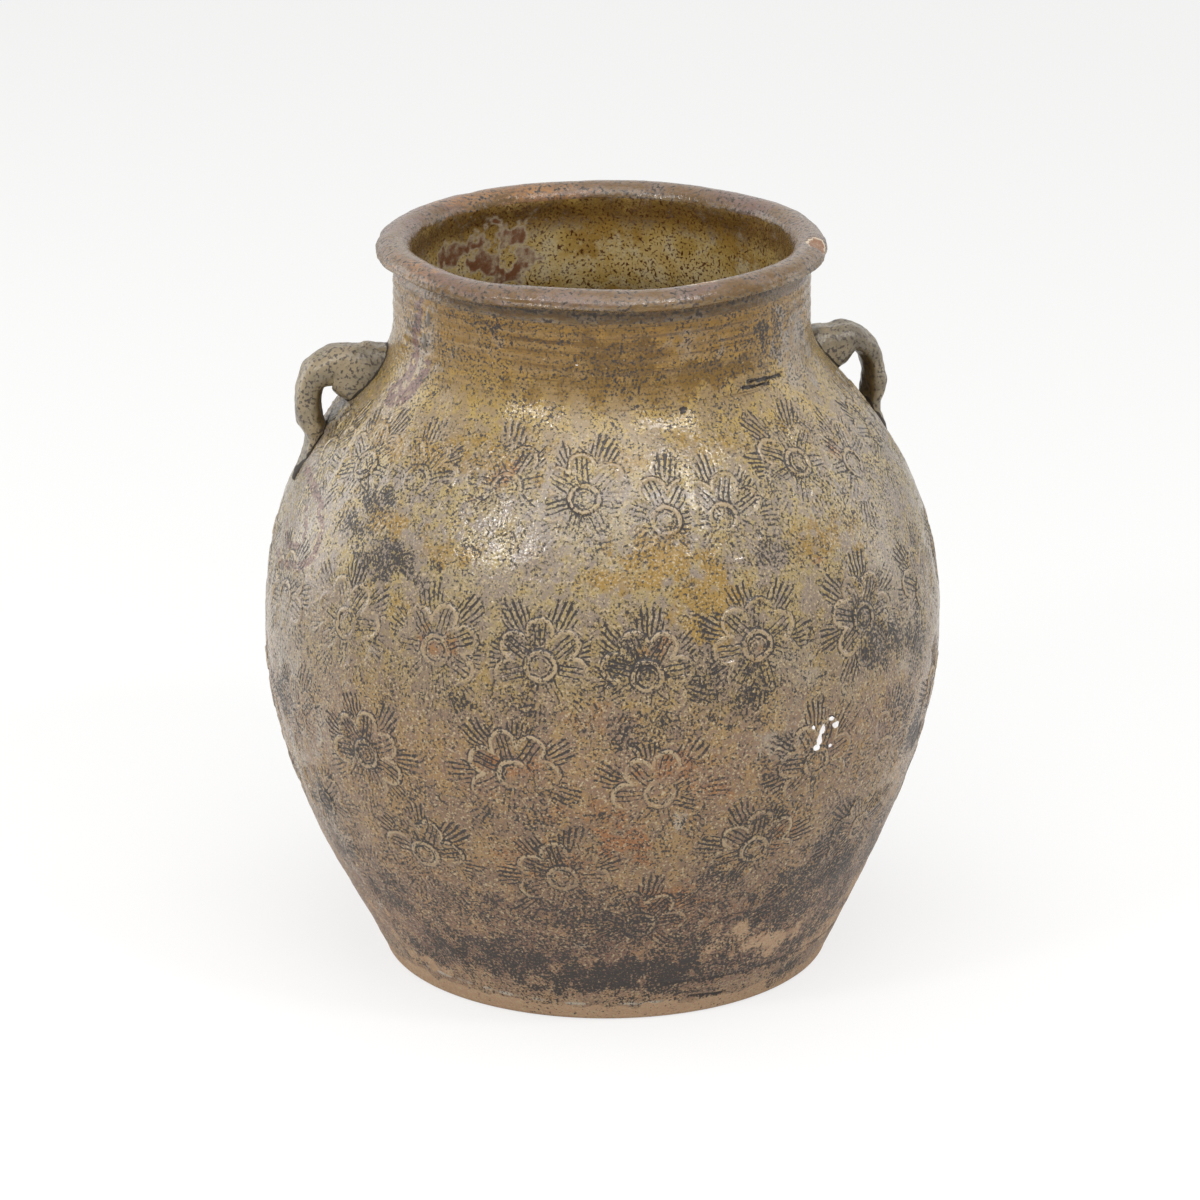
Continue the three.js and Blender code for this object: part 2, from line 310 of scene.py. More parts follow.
def turned(name, profile, closed=True):
    """A mesh object: the profile's radii and heights turned full circle about the upright axis."""
    shape = bmesh.new()
    corners = [shape.verts.new((radius, 0, height)) for radius, height in profile]
    ends = corners[1:] + corners[:1] if closed else corners[1:]
    for pair in zip(corners, ends):
        shape.edges.new(pair)
    template = bpy.data.meshes.new("template")
    shape.to_mesh(template)
    wheel = bpy.data.objects.new("wheel", template)
    bpy.context.scene.collection.objects.link(wheel)
    screw = wheel.modifiers.new("wheel", "SCREW")
    screw.angle = 2 * math.pi
    screw.steps = screw.render_steps = COLUMNS
    screw.use_merge_vertices = not closed
    screw.merge_threshold = ROW / 100
    turning = wheel.evaluated_get(bpy.context.evaluated_depsgraph_get())
    mesh = bpy.data.meshes.new_from_object(turning)
    bpy.data.objects.remove(wheel)
    bpy.data.meshes.remove(template)
    shape.clear()
    shape.from_mesh(mesh)
    bmesh.ops.recalc_face_normals(shape, faces=shape.faces)
    shape.to_mesh(mesh)
    shape.free()
    mesh.name = name
    piece = bpy.data.objects.new(name, mesh)
    bpy.context.scene.collection.objects.link(piece)
    return piece


def places_of(piece):
    """The places of a piece's vertices, one row each."""
    places = np.empty(len(piece.data.vertices) * 3)
    piece.data.vertices.foreach_get("co", places)
    return places.reshape(-1, 3)


def radius_of(places):
    """How far each place is from the upright axis."""
    return np.hypot(places[:, 0], places[:, 1])


def outer_skin(places):
    """1 for places on the outside of the wall and 0 for those on its inside."""
    middle = (outside_at(places[:, 2]) + inside_at(places[:, 2])) / 2
    return (radius_of(places) > middle).astype(float)


def move_to(piece, places):
    piece.data.vertices.foreach_set("co", places.ravel())
    piece.data.update()


def paint(piece, name, values):
    """Keeps a value for each vertex, which the materials read by its name."""
    layer = piece.data.attributes.new(name, "FLOAT", "POINT")
    layer.data.foreach_set("value", np.asarray(values, np.float32))


def bearing_of(places):
    """Bearing of each place in degrees from the side that faces the camera, from -180 to 180."""
    bearing = np.degrees(np.arctan2(places[:, 0], -places[:, 1]) - CAMERA_BEARING)
    return (bearing + 180) % 360 - 180


def outwards_at(places):
    """The direction square to the outline at each place."""
    lean = np.interp(places[:, 2], outline[:, 1], outline_along[:, 0])
    rise = np.interp(places[:, 2], outline[:, 1], outline_along[:, 1])
    radius = np.maximum(radius_of(places), MM)
    return np.column_stack([places[:, 0] / radius * rise, places[:, 1] / radius * rise, -lean])


def lumps(places, size, seed):
    """A smooth random swell over places with waves of about that size, mostly between -1 and 1."""
    dice = np.random.default_rng(seed)
    waves = 26
    ways = dice.normal(size=(waves, 3))
    ways /= np.linalg.norm(ways, axis=1)[:, None]
    counts = 2 * math.pi / (size * dice.uniform(0.7, 1.6, waves))
    starts = dice.uniform(0, 2 * math.pi, waves)
    total = np.zeros(len(places))
    for way, count, start in zip(ways, counts, starts):
        total += np.cos(places @ (way * count) + start)
    return total / math.sqrt(waves)


def eased(values, low, high):
    """0 up to low, 1 from high on, and smooth between them."""
    share = np.clip((values - low) / (high - low), 0, 1)
    return share * share * (3 - 2 * share)


def settle(places):
    """The jar sagged a little as it dried: the foot stands 2 mm to the camera's right of the mouth."""
    lean = FOOT_SHIFT * (1 - eased(places[:, 2], 0, FOOT_SHIFT_TOP))
    places[:, 0] += lean * math.cos(CAMERA_BEARING)
    places[:, 1] += lean * math.sin(CAMERA_BEARING)
    return places


def raise_skin(piece, places, relief):
    """Moves a piece's surface out by its relief in millimetres, square to the outline, and settles it."""
    move_to(piece, settle(places + outwards_at(places) * (relief * MM)[:, None]))


def apart_on_wall(places, side, height):
    """How far each place is from a spot on the wall, across and up, in millimetres."""
    turn = np.radians((bearing_of(places) - side + 180) % 360 - 180)
    return turn * radius_of(places) / MM, places[:, 2] / MM - height


def round_marks(places, marks, seed, raggedness=0.35):
    """How far each place is covered by ragged marks, each with its bearing, height, half width, half
    height and strength. A mark fades out between 0.4 and 1.4 of its half size."""
    rough = lumps(places, 9 * MM, seed) * raggedness + lumps(places, 3.5 * MM, seed + 1) * raggedness / 2
    cover = np.zeros(len(places))
    for side, height, half_width, half_height, strength in marks:
        across, up = apart_on_wall(places, side, height)
        distance = np.hypot(across / half_width, up / half_height) + rough
        cover = np.maximum(cover, strength * (1 - eased(distance, 0.4, 1.4)))
    return cover


def streaks(places, paths):
    """How far each place is covered by marks that run along paths of bearings and heights. A mark fades
    out between 0.5 and 1.5 of its half width."""
    cover = np.zeros(len(places))
    for half_width, strength, path in paths:
        for (side, height), (next_side, next_height) in zip(path, path[1:]):
            across, up = apart_on_wall(places, side, height)
            radius = outside_at(height * MM) / MM
            run = np.array([math.radians(next_side - side) * radius, next_height - height])
            share = np.clip((across * run[0] + up * run[1]) / run.dot(run), 0, 1)
            distance = np.hypot(across - share * run[0], up - share * run[1])
            cover = np.maximum(cover, strength * (1 - eased(distance / half_width, 0.5, 1.5)))
    return cover


# Marks of the fire, of use and of the glaze, placed on the side that the photo shows: bearing in
# degrees, height, half width and half height in millimetres, and strength. First the dark ones of soot,
# with painted shade among them: the mark at 50 degrees and 9 mm darkens the foot where it turns away
# from the light.
SOOT_AND_SHADE_MARKS = [
    (-48, 243, 12, 6, 0.8), (-40, 221, 20, 9, 0.9), (-50, 230, 14, 6, 0.6), (33, 230, 10, 7, 0.6),
    (55, 174, 22, 9, 0.8), (66, 165, 12, 14, 0.6), (24, 170, 12, 18, 0.5), (5, 158, 20, 8, 0.5),
    (69, 120, 12, 14, 1.0), (46, 90, 8, 16, 0.7), (54, 66, 13, 14, 1.0), (60, 46, 14, 14, 0.9),
    (3, 27, 50, 11, 1.3), (-24, 32, 46, 12, 1.1), (12, 24, 26, 10, 1.2), (48, 24, 15, 7, 1.0),
    (-50, 50, 16, 9, 0.7), (-47, 63, 9, 5, 0.9), (-70, 140, 14, 12, 0.7), (30, 108, 14, 10, 0.4),
    (-28, 60, 34, 12, 0.5), (-8, 112, 30, 8, 0.4), (-20, 165, 30, 8, 0.4), (4, 55, 18, 8, 0.8),
    (22, 72, 16, 16, 0.6), (-60, 70, 16, 10, 0.6), (-40, 26, 30, 9, 0.8), (-53, 13, 14, 3, 1.0),
    (17, 186, 8, 22, 0.5), (-14, 197, 14, 8, 0.5), (5, 190, 12, 12, 0.5), (-60, 94, 9, 8, 0.8),
    (50, 196, 14, 12, 0.5), (-29, 120, 14, 8, 0.4), (20, 42, 24, 8, 0.6), (30, 134, 12, 14, 0.4),
    (62, 140, 10, 18, 0.5), (-44, 134, 16, 14, 0.4), (-10, 98, 10, 10, 0.5), (49, 313, 4, 10, 0.8),
    (-34, 321, 12, 4, 0.4), (-45, 305, 14, 4, 0.3), (56, 312, 5, 12, 0.5), (50, 9, 18, 6, 1.0),
    (40, 55, 26, 16, 1.0), (56, 30, 18, 10, 1.0), (-10, 45, 40, 10, 0.8), (0, 64, 60, 12, 0.7),
    (44, 66, 26, 12, 0.8), (34, 26, 20, 8, 0.9), (70, 60, 20, 30, 0.7),
]
# Where the glaze ran together and is amber
AMBER_MARKS = [
    (12, 231, 20, 10, 1.0), (18, 214, 15, 12, 1.0), (16, 203, 9, 8, 1.0), (44, 229, 20, 7, 0.7),
    (54, 221, 8, 2, 1.2), (-45, 237, 20, 7, 0.7), (-40, 265, 60, 7, 0.6), (3, 223, 20, 5, 0.7),
    (-30, 230, 18, 6, 0.6), (20, 196, 5, 8, 0.9), (-25, 272, 44, 6, 0.5), (30, 272, 44, 6, 0.4),
    (-35, 206, 16, 6, 0.5), (6, 168, 12, 5, 0.4), (-15, 152, 20, 6, 0.4), (46, 206, 12, 5, 0.5),
    (-35, 290, 40, 6, 0.3), (8, 296, 50, 8, 0.7), (33, 299, 28, 6, 1.2), (12, 240, 12, 5, 0.8),
    (3, 307, 22, 12, 0.8), (5, 268, 16, 5, 0.5), (-20, 180, 12, 6, 0.4), (20, 222, 9, 9, 0.9),
]
# Where the clay's iron came through
RUST_MARKS = [
    (12, 71, 20, 8, 0.8), (-10, 95, 30, 12, 0.5), (4, 104, 13, 11, 1.0), (12, 141, 14, 7, 0.8),
    (-15, 141, 14, 5, 0.8), (15, 60, 14, 8, 0.5), (34, 98, 8, 10, 0.6), (25, 62, 18, 8, 0.5),
    (-28, 192, 10, 6, 0.7), (10, 195, 8, 6, 0.5), (-22, 263, 8, 5, 0.7), (0, 165, 18, 6, 0.4),
    (26, 190, 10, 6, 0.3), (-35, 76, 18, 8, 0.3), (40, 45, 18, 8, 0.4), (-1, 118, 24, 6, 0.6),
    (18, 128, 14, 6, 0.6), (42, 221, 5, 2, 0.7), (58, 258, 6, 4, 0.6), (-20, 128, 10, 5, 0.4),
]
# Where the glaze is off the clay
BARE_MARKS = [
    (62, 24, 40, 10, 0.8), (42, 34, 28, 9, 0.8), (28, 45, 20, 8, 0.6), (-50, 14, 26, 4, 0.8),
    (-62, 30, 20, 10, 0.6), (80, 40, 30, 22, 0.8), (18, 78, 14, 6, 0.4), (-75, 60, 14, 20, 0.5),
    (72, 70, 16, 14, 0.5), (30, 30, 14, 6, 0.5), (-30, 20, 16, 4, 0.4), (66, 100, 14, 24, 0.5),
]
# Where the glaze is scuffed and pale
PALE_MARKS = [
    (-66, 218, 12, 10, 0.9), (-60, 165, 16, 24, 0.7), (-28, 232, 20, 12, 0.4), (-18, 222, 26, 12, 0.6),
    (2, 215, 20, 6, 0.3), (-5, 45, 5, 3, 0.9), (-41, 184, 4, 3, 1.0), (13, 112, 5, 6, 1.0),
    (6, 110, 4, 4, 1.1), (-64, 105, 12, 14, 0.5), (44, 168, 12, 12, 0.5), (58, 205, 16, 20, 0.5),
    (66, 235, 14, 14, 0.6), (-55, 258, 12, 8, 0.4), (36, 262, 18, 10, 0.4), (-49, 26, 3, 3, 1.1),
    (-12, 210, 22, 10, 0.5), (70, 60, 12, 20, 0.5), (-54, 160, 26, 46, 0.75), (20, 92, 10, 6, 0.3),
    (33, 160, 26, 40, 0.7), (34, 250, 30, 16, 0.7),
]
# A thin grey film over the glaze, and painted sheen: at the sides and on the shoulder these grey marks
# also stand for the reflection of the pale surroundings and of the lamps in the glaze
FILM_AND_SHEEN_MARKS = [
    (26, 313, 20, 9, 0.7), (-58, 306, 20, 16, 0.9), (-34, 311, 16, 9, 0.6), (66, 300, 20, 24, 1.0),
    (-66, 160, 26, 60, 0.9), (62, 200, 22, 60, 0.8), (64, 120, 20, 40, 0.5), (-20, 215, 30, 18, 0.7),
    (0, 245, 50, 14, 0.7), (25, 250, 30, 14, 0.7), (-8, 60, 40, 20, 0.5), (44, 160, 24, 20, 0.7),
    (-60, 80, 20, 40, 0.8), (60, 255, 18, 14, 0.7), (-50, 205, 20, 10, 0.5), (-54, 140, 20, 26, 0.8),
    (10, 170, 30, 12, 0.3), (31, 146, 20, 14, 0.8), (33, 178, 16, 16, 0.8), (-52, 182, 22, 24, 0.6),
    (-30, 175, 20, 14, 0.6), (-20, 250, 30, 12, 0.7),
]
# Painted glints: small near-white highlights where the lamps shine on smooth lumps of the glaze
PAINTED_GLINTS = [
    (36.6, 149.6, 1.6, 1.4, 1.0), (38.8, 147.5, 2.2, 3.2, 1.0), (38.2, 143.0, 2.0, 2.6, 1.0),
    (40.7, 151.6, 2.4, 1.6, 1.0), (41.9, 147.6, 1.8, 2.0, 1.0), (37.6, 139.3, 2.0, 1.4, 1.0),
    (40.8, 138.2, 1.6, 1.4, 1.0), (-6.8, 306.4, 2.2, 0.9, 1.0),
]
# Tears of glaze that stand on the neck, and a pinhole beside the front
TEARS = [(-53.9, 316.6, 1.7, 3.6, 1.0), (-56.1, 305.4, 1.9, 4.0, 1.0)]
PINHOLES = [(21.2, 285.6, 1.9, 1.3, 1.0)]
# Runs of red-brown slip: half width in millimetres, strength and their path of bearings and heights
SLIP_RUNS = [
    (3.4, 0.9, [
        (-58, 325), (-60, 311), (-61, 296), (-61.5, 288), (-62.3, 285), (-64.8, 280.5), (-63.6, 277),
        (-59.2, 279), (-57.6, 283), (-56, 287), (-54.4, 294),
    ]),
    (2.2, 0.9, [
        (-80, 237), (-74, 236), (-65, 232), (-60.5, 222), (-60.5, 211), (-64, 204), (-72, 199), (-79, 200),
    ]),
    (1.6, 0.8, [(-70, 226), (-66, 219), (-67, 211), (-72, 208), (-77, 214)]),
    (1.8, 0.6, [(-78, 150), (-73, 140), (-70, 130)]),
]
# Scratches and the incised lines near the foot, in the same form
SCRATCHES = [
    (0.5, 2.0, [(40.2, 290.0), (50.1, 289.0)]),
    (0.6, 2.0, [(42.4, 292.0), (55.7, 290.4)]),
    (0.7, 1.6, [(20.5, 10.4), (30, 9.4)]),
    (1.0, 1.2, [(14, 20.5), (41.5, 20.5), (53, 19.5), (76, 17.5)]),
    (0.8, 0.8, [(-60, 273), (-56, 262)]),
]
# A painted highlight: the pale line along the edge of the glaze over the bare foot
FOOT_HIGHLIGHT_LINES = [(1.0, 1.2, [(-64, 13.5), (-35, 11), (-8, 9.5), (24, 9)])]
# Painted shadow: the dark line under the lip, in the crease where the roll shades the neck
LIP_SHADOW = [(0.4, 0.75, [(-56, 329.6), (-30, 329.4), (0, 329.2), (30, 329.2), (66, 329.6)])]


# Heights between which the bare band round the foot ends, in millimetres
FOOT_BAND = (6.5, 9.5)
# The rings of the potter's fingers on the neck: the pitch of the broad and the fine ones, and the heights
# between which they set in, in millimetres
RING_PITCH = 5.6
FINE_RING_PITCH = 1.9
RING_START = (290, 304)


def round_the_jar(marks, seed):
    """The marks, and their like on the far side: turned half round, and shuffled by up to 9 degrees and
    7 millimetres."""
    dice = np.random.default_rng(seed)
    far = [
        (180 - side + dice.uniform(-9, 9), height + dice.uniform(-7, 7), wide, high, strength)
        for side, height, wide, high, strength in marks
    ]
    return marks + far


def weathered(piece, places, inside):
    """Paints the marks on a piece, at the places where its vertices were before they were moved."""
    outside = 1 - inside
    soot_and_shade = round_marks(places, round_the_jar(SOOT_AND_SHADE_MARKS, 3), 11)
    # Scratches and pinholes, and the painted shadow under the lip
    cuts_and_shade = streaks(places, SCRATCHES + LIP_SHADOW) + 2 * round_marks(places, PINHOLES, 12, 0)
    paint(piece, "soot_and_shade", np.maximum(soot_and_shade, cuts_and_shade) * outside)
    paint(piece, "amber", round_marks(places, round_the_jar(AMBER_MARKS, 4), 13) * outside)
    paint(piece, "rust", round_marks(places, round_the_jar(RUST_MARKS, 5), 15) * outside)
    foot_band = 1 - eased(places[:, 2] / MM + 1.4 * lumps(places, 11 * MM, 18), *FOOT_BAND)
    bare = np.maximum(round_marks(places, round_the_jar(BARE_MARKS, 6), 17), 1.3 * foot_band)
    paint(piece, "bare", bare * outside)
    pale = round_marks(places, round_the_jar(PALE_MARKS, 7), 19)
    # with the painted highlight along the top of the bare foot
    pale += streaks(places, FOOT_HIGHLIGHT_LINES) * (0.7 + 0.5 * lumps(places, 7 * MM, 20))
    paint(piece, "pale", pale * outside)
    paint(piece, "film_and_sheen", round_marks(places, round_the_jar(FILM_AND_SHEEN_MARKS, 8), 21) * outside)
    # Painted glints of the lamps on lumps of the glaze
    paint(piece, "chip_and_glint", round_marks(places, PAINTED_GLINTS, 23, 0.3) * outside)
    slip = streaks(places, SLIP_RUNS) * (1 + 0.5 * lumps(places, 5 * MM, 25))
    paint(piece, "slip", slip * outside)
    paint(piece, "tear", round_marks(places, TEARS, 27, 0) * outside)
    paint(piece, "inside", inside)


def surface_relief(places):
    """The clay's own unevenness in millimetres: slow swells, scrape marks, grit, and the rings that the
    potter's fingers left round the neck. Below the top of the floor it fades out."""
    flattened = places * np.array([0.25, 0.25, 1])
    heights = places[:, 2] / MM
    relief = (
        0.5 * lumps(places, 90 * MM, 41)
        + 0.16 * lumps(places, 18 * MM, 42)
        + 0.035 * lumps(flattened, 3.5 * MM, 43)
        + 0.024 * lumps(places, 2.4 * MM, 44)
    )
    rings = np.sin(2 * math.pi * heights / RING_PITCH + 0.5 * lumps(places, 60 * MM, 51))
    fine_rings = np.cos(2 * math.pi * heights / FINE_RING_PITCH + 0.8 * lumps(places, 40 * MM, 52))
    relief += eased(heights, *RING_START) * (0.12 * rings + 0.03 * fine_rings)
    relief += 0.7 * round_marks(places, TEARS, 27, 0)
    relief -= 0.5 * streaks(places, SCRATCHES[:3]) + 0.25 * streaks(places, SCRATCHES[3:])
    relief -= 0.8 * round_marks(places, PINHOLES, 12, 0)
    return relief * eased(heights, 0, FLOOR_TOP / MM)


def smooth_faces(piece, flat_angle=60):
    """Smooth shading, but with creases where faces meet at more than an angle."""
    piece.data.polygons.foreach_set("use_smooth", np.ones(len(piece.data.polygons), bool))
    piece.data.set_sharp_from_angle(angle=math.radians(flat_angle))


def fineness(size):
    """The scale of a noise whose lumps are about this many millimetres across."""
    return 0.5 / (size * MM)


def ragged(tree, low, high, *fields):
    """A mask: 0 where the weighted sum of the fields is up to low, 1 from high on."""
    total = 0.0
    for field, weight in fields:
        total = add(
            tree, "ShaderNodeMath", {"Value": field, "Value_001": weight, "Value_002": total},
            operation="MULTIPLY_ADD",
        )
    return add(
        tree, "ShaderNodeMapRange", {"Value": total, "From Min": low, "From Max": high},
        interpolation_type="SMOOTHSTEP",
    )


def ridge(tree, field, middle, half_width):
    """A mask: 1 where a field has its middle value, 0 from half a width away."""
    gap = add(tree, "ShaderNodeMath", {"Value": field, "Value_001": middle}, operation="SUBTRACT")
    distance = add(tree, "ShaderNodeMath", {"Value": gap}, operation="ABSOLUTE")
    return ragged(tree, -half_width, -half_width / 3, (distance, -1))


def coat(tree, surface, mask, tint, rough):
    """Lays a coat over a surface: its colour and its roughness show where the mask is 1."""
    under_tint, under_rough = surface
    tinted = add(
        tree, "ShaderNodeMix", {"Factor_Float": mask, "A_Color": under_tint, "B_Color": tint},
        out="Result_Color", data_type="RGBA",
    )
    roughened = add(
        tree, "ShaderNodeMix", {"Factor_Float": mask, "A_Float": under_rough, "B_Float": rough},
        out="Result_Float",
    )
    return tinted, roughened


# The stamp: petals in a round, the pitch of their veins in millimetres, and rays round the outer petals
PETALS = 7
VEIN_PITCH = 2.3
RAYS = 63
# Each round of petals: root and tip of a petal's middle line and half its width, in millimetres
INNER_PETALS = (10, 14.8, 6.8)
OUTER_PETALS = (16, 27, 7.4)
SOOT_AND_SHADE_TINT = "#2c2521"
CLAY = "#a88a6d"
# How far the glaze's bands sway up and down
SWAY = 24 * MM
# The glaze's colour from the foot up to the rim: its grey-brown ground and the ochre that floats on it
GROUND_TINTS = [
    (0.0, "#8f745a"), (1.0, "#7e5e28"), (0.08, "#6b4c3d"), (0.18, "#6c4f3b"), (0.29, "#785e46"),
    (0.41, "#7c604a"), (0.53, "#7f6c58"), (0.65, "#847668"), (0.75, "#897d70"), (0.84, "#8e7854"),
    (0.91, "#83642f"),
]
OCHRE_TINTS = [
    (0.0, "#9b7f60"), (1.0, "#8e692a"), (0.08, "#8a6a4e"), (0.18, "#8b6a47"), (0.29, "#8f7145"),
    (0.41, "#927247"), (0.53, "#957f52"), (0.65, "#9b885a"), (0.75, "#a28f5e"), (0.84, "#a48a4b"),
    (0.91, "#977330"),
]


def petal_round(tree, rho, theta, shift, root, tip, half_width):
    """A round of petals: how far outside the nearest one a place is, and how far from its middle line."""
    sector = 2 * math.pi / PETALS
    turned_by = add(tree, "ShaderNodeMath", {"Value": theta, "Value_001": shift * sector}, operation="ADD")
    fold = add(
        tree, "ShaderNodeMath", {"Value": turned_by, "Value_001": sector / 2, "Value_002": -sector / 2},
        operation="WRAP",
    )
    cosine = add(tree, "ShaderNodeMath", {"Value": fold}, operation="COSINE")
    sine = add(tree, "ShaderNodeMath", {"Value": fold}, operation="SINE")
    along = add(tree, "ShaderNodeMath", {"Value": rho, "Value_001": cosine}, operation="MULTIPLY")
    across = add(tree, "ShaderNodeMath", {"Value": rho, "Value_001": sine}, operation="MULTIPLY")
    nearest = add(tree, "ShaderNodeClamp", {"Value": along, "Min": root, "Max": tip})
    past = add(tree, "ShaderNodeMath", {"Value": along, "Value_001": nearest}, operation="SUBTRACT")
    offset = add(tree, "ShaderNodeCombineXYZ", {"X": past, "Y": across})
    distance = add(tree, "ShaderNodeVectorMath", {"Vector": offset}, out="Value", operation="LENGTH")
    edge = add(tree, "ShaderNodeMath", {"Value": distance, "Value_001": half_width}, operation="SUBTRACT")
    return edge, across


def stamp_masks(tree, place):
    """Where the stamps' lines are pressed in and where their edges stand out. The stamps' own
    coordinates, in millimetres, and how hard each was pressed are painted on the wall."""
    stamp = add(tree, "ShaderNodeAttribute", out="Vector", attribute_name="stamp")
    press = add(tree, "ShaderNodeAttribute", out="Fac", attribute_name="press")
    hand = add(
        tree, "ShaderNodeTexNoise", {"Vector": place, "Scale": fineness(3), "Detail": 4}, out="Color",
    )
    centred = add(
        tree, "ShaderNodeVectorMath", {"Vector": hand, "Vector_001": (0.5, 0.5, 0.5)}, operation="SUBTRACT",
    )
    shaken = add(
        tree, "ShaderNodeVectorMath",
        {"Vector": centred, "Vector_001": (2.6, 2.6, 0), "Vector_002": stamp}, operation="MULTIPLY_ADD",
    )
    rho = add(tree, "ShaderNodeVectorMath", {"Vector": shaken}, out="Value", operation="LENGTH")
    u = add(tree, "ShaderNodeSeparateXYZ", {"Vector": shaken}, out="X")
    v = add(tree, "ShaderNodeSeparateXYZ", {"Vector": shaken}, out="Y")
    theta = add(tree, "ShaderNodeMath", {"Value": v, "Value_001": u}, operation="ARCTAN2")
    edge, across = petal_round(tree, rho, theta, 0, *INNER_PETALS)
    far_edge = petal_round(tree, rho, theta, 0.5, *OUTER_PETALS)[0]
    wave = 2 * math.pi / VEIN_PITCH
    phase = add(tree, "ShaderNodeMath", {"Value": across, "Value_001": wave}, operation="MULTIPLY")
    veins = add(tree, "ShaderNodeMath", {"Value": phase}, operation="COSINE")
    ray_phase = add(tree, "ShaderNodeMath", {"Value": theta, "Value_001": RAYS}, operation="MULTIPLY")
    rays = add(tree, "ShaderNodeMath", {"Value": ray_phase}, operation="COSINE")
    past_ring = ragged(tree, 7.8, 8.6, (rho, 1))
    within = ragged(tree, 1.9, 2.7, (edge, -1))
    clear = ragged(tree, 0.3, 1.0, (edge, 1))
    far_within = ragged(tree, 0.6, 1.6, (far_edge, -1))
    hollow = add(tree, "ShaderNodeMath", {"Value": within, "Value_001": past_ring}, operation="MULTIPLY")
    inner_lines = ragged(tree, 1.1, 1.7, (hollow, 1), (veins, 0.7))
    outer_lines = ragged(tree, 2.9, 3.4, (far_within, 1), (clear, 1), (past_ring, 1), (rays, 0.6))
    outline_line = ridge(tree, edge, 0.2, 0.7)
    boss_line = ridge(tree, rho, 4.8, 0.9)
    ring_line = ridge(tree, rho, 7.7, 0.8)
    pressed = ragged(
        tree, 0, 1, (inner_lines, 0.75), (hollow, 0.2), (outer_lines, 0.9), (outline_line, 0.55),
        (boss_line, 0.8), (ring_line, 0.75),
    )
    petal_rim = ridge(tree, edge, -1.1, 1.4)
    ring = ridge(tree, rho, 6.3, 1.5)
    raised = ragged(tree, 0, 1, (petal_rim, 0.8), (ring, 0.9))
    return [
        add(tree, "ShaderNodeMath", {"Value": mask, "Value_001": press}, operation="MULTIPLY")
        for mask in (pressed, raised)
    ]


def glaze_noises(tree, place):
    """The noises that break up the coats outside: a grain and a lighter one, crumbs of glaze, clouds, runs
    that hang down the wall, and streaks that lie round it."""
    grain = add(
        tree, "ShaderNodeTexNoise",
        {"Vector": place, "Scale": fineness(0.6), "Detail": 3, "Roughness": 0.6}, out="Fac",
    )
    light_grain = add(
        tree, "ShaderNodeTexNoise",
        {"Vector": place, "Scale": fineness(0.55), "Detail": 2, "W": 3.0}, out="Fac",
        noise_dimensions="4D",
    )
    crumbs = add(
        tree, "ShaderNodeTexNoise",
        {"Vector": place, "Scale": fineness(2.4), "Detail": 5, "Roughness": 0.75}, out="Fac",
    )
    cloud = add(
        tree, "ShaderNodeTexNoise",
        {"Vector": place, "Scale": fineness(9), "Detail": 6, "Roughness": 0.7, "W": 7.0},
        out="Fac", noise_dimensions="4D",
    )
    hanging = add(tree, "ShaderNodeMapping", {"Vector": place, "Scale": (1, 1, 0.4)})
    runs = add(
        tree, "ShaderNodeTexNoise",
        {"Vector": hanging, "Scale": fineness(6), "Detail": 6, "Roughness": 0.7}, out="Fac",
    )
    flattened = add(tree, "ShaderNodeMapping", {"Vector": place, "Scale": (0.1, 0.1, 3.0)})
    streak = add(
        tree, "ShaderNodeTexNoise",
        {"Vector": flattened, "Scale": fineness(3), "Detail": 4, "Roughness": 0.65}, out="Fac",
    )
    return grain, light_grain, crumbs, cloud, runs, streak


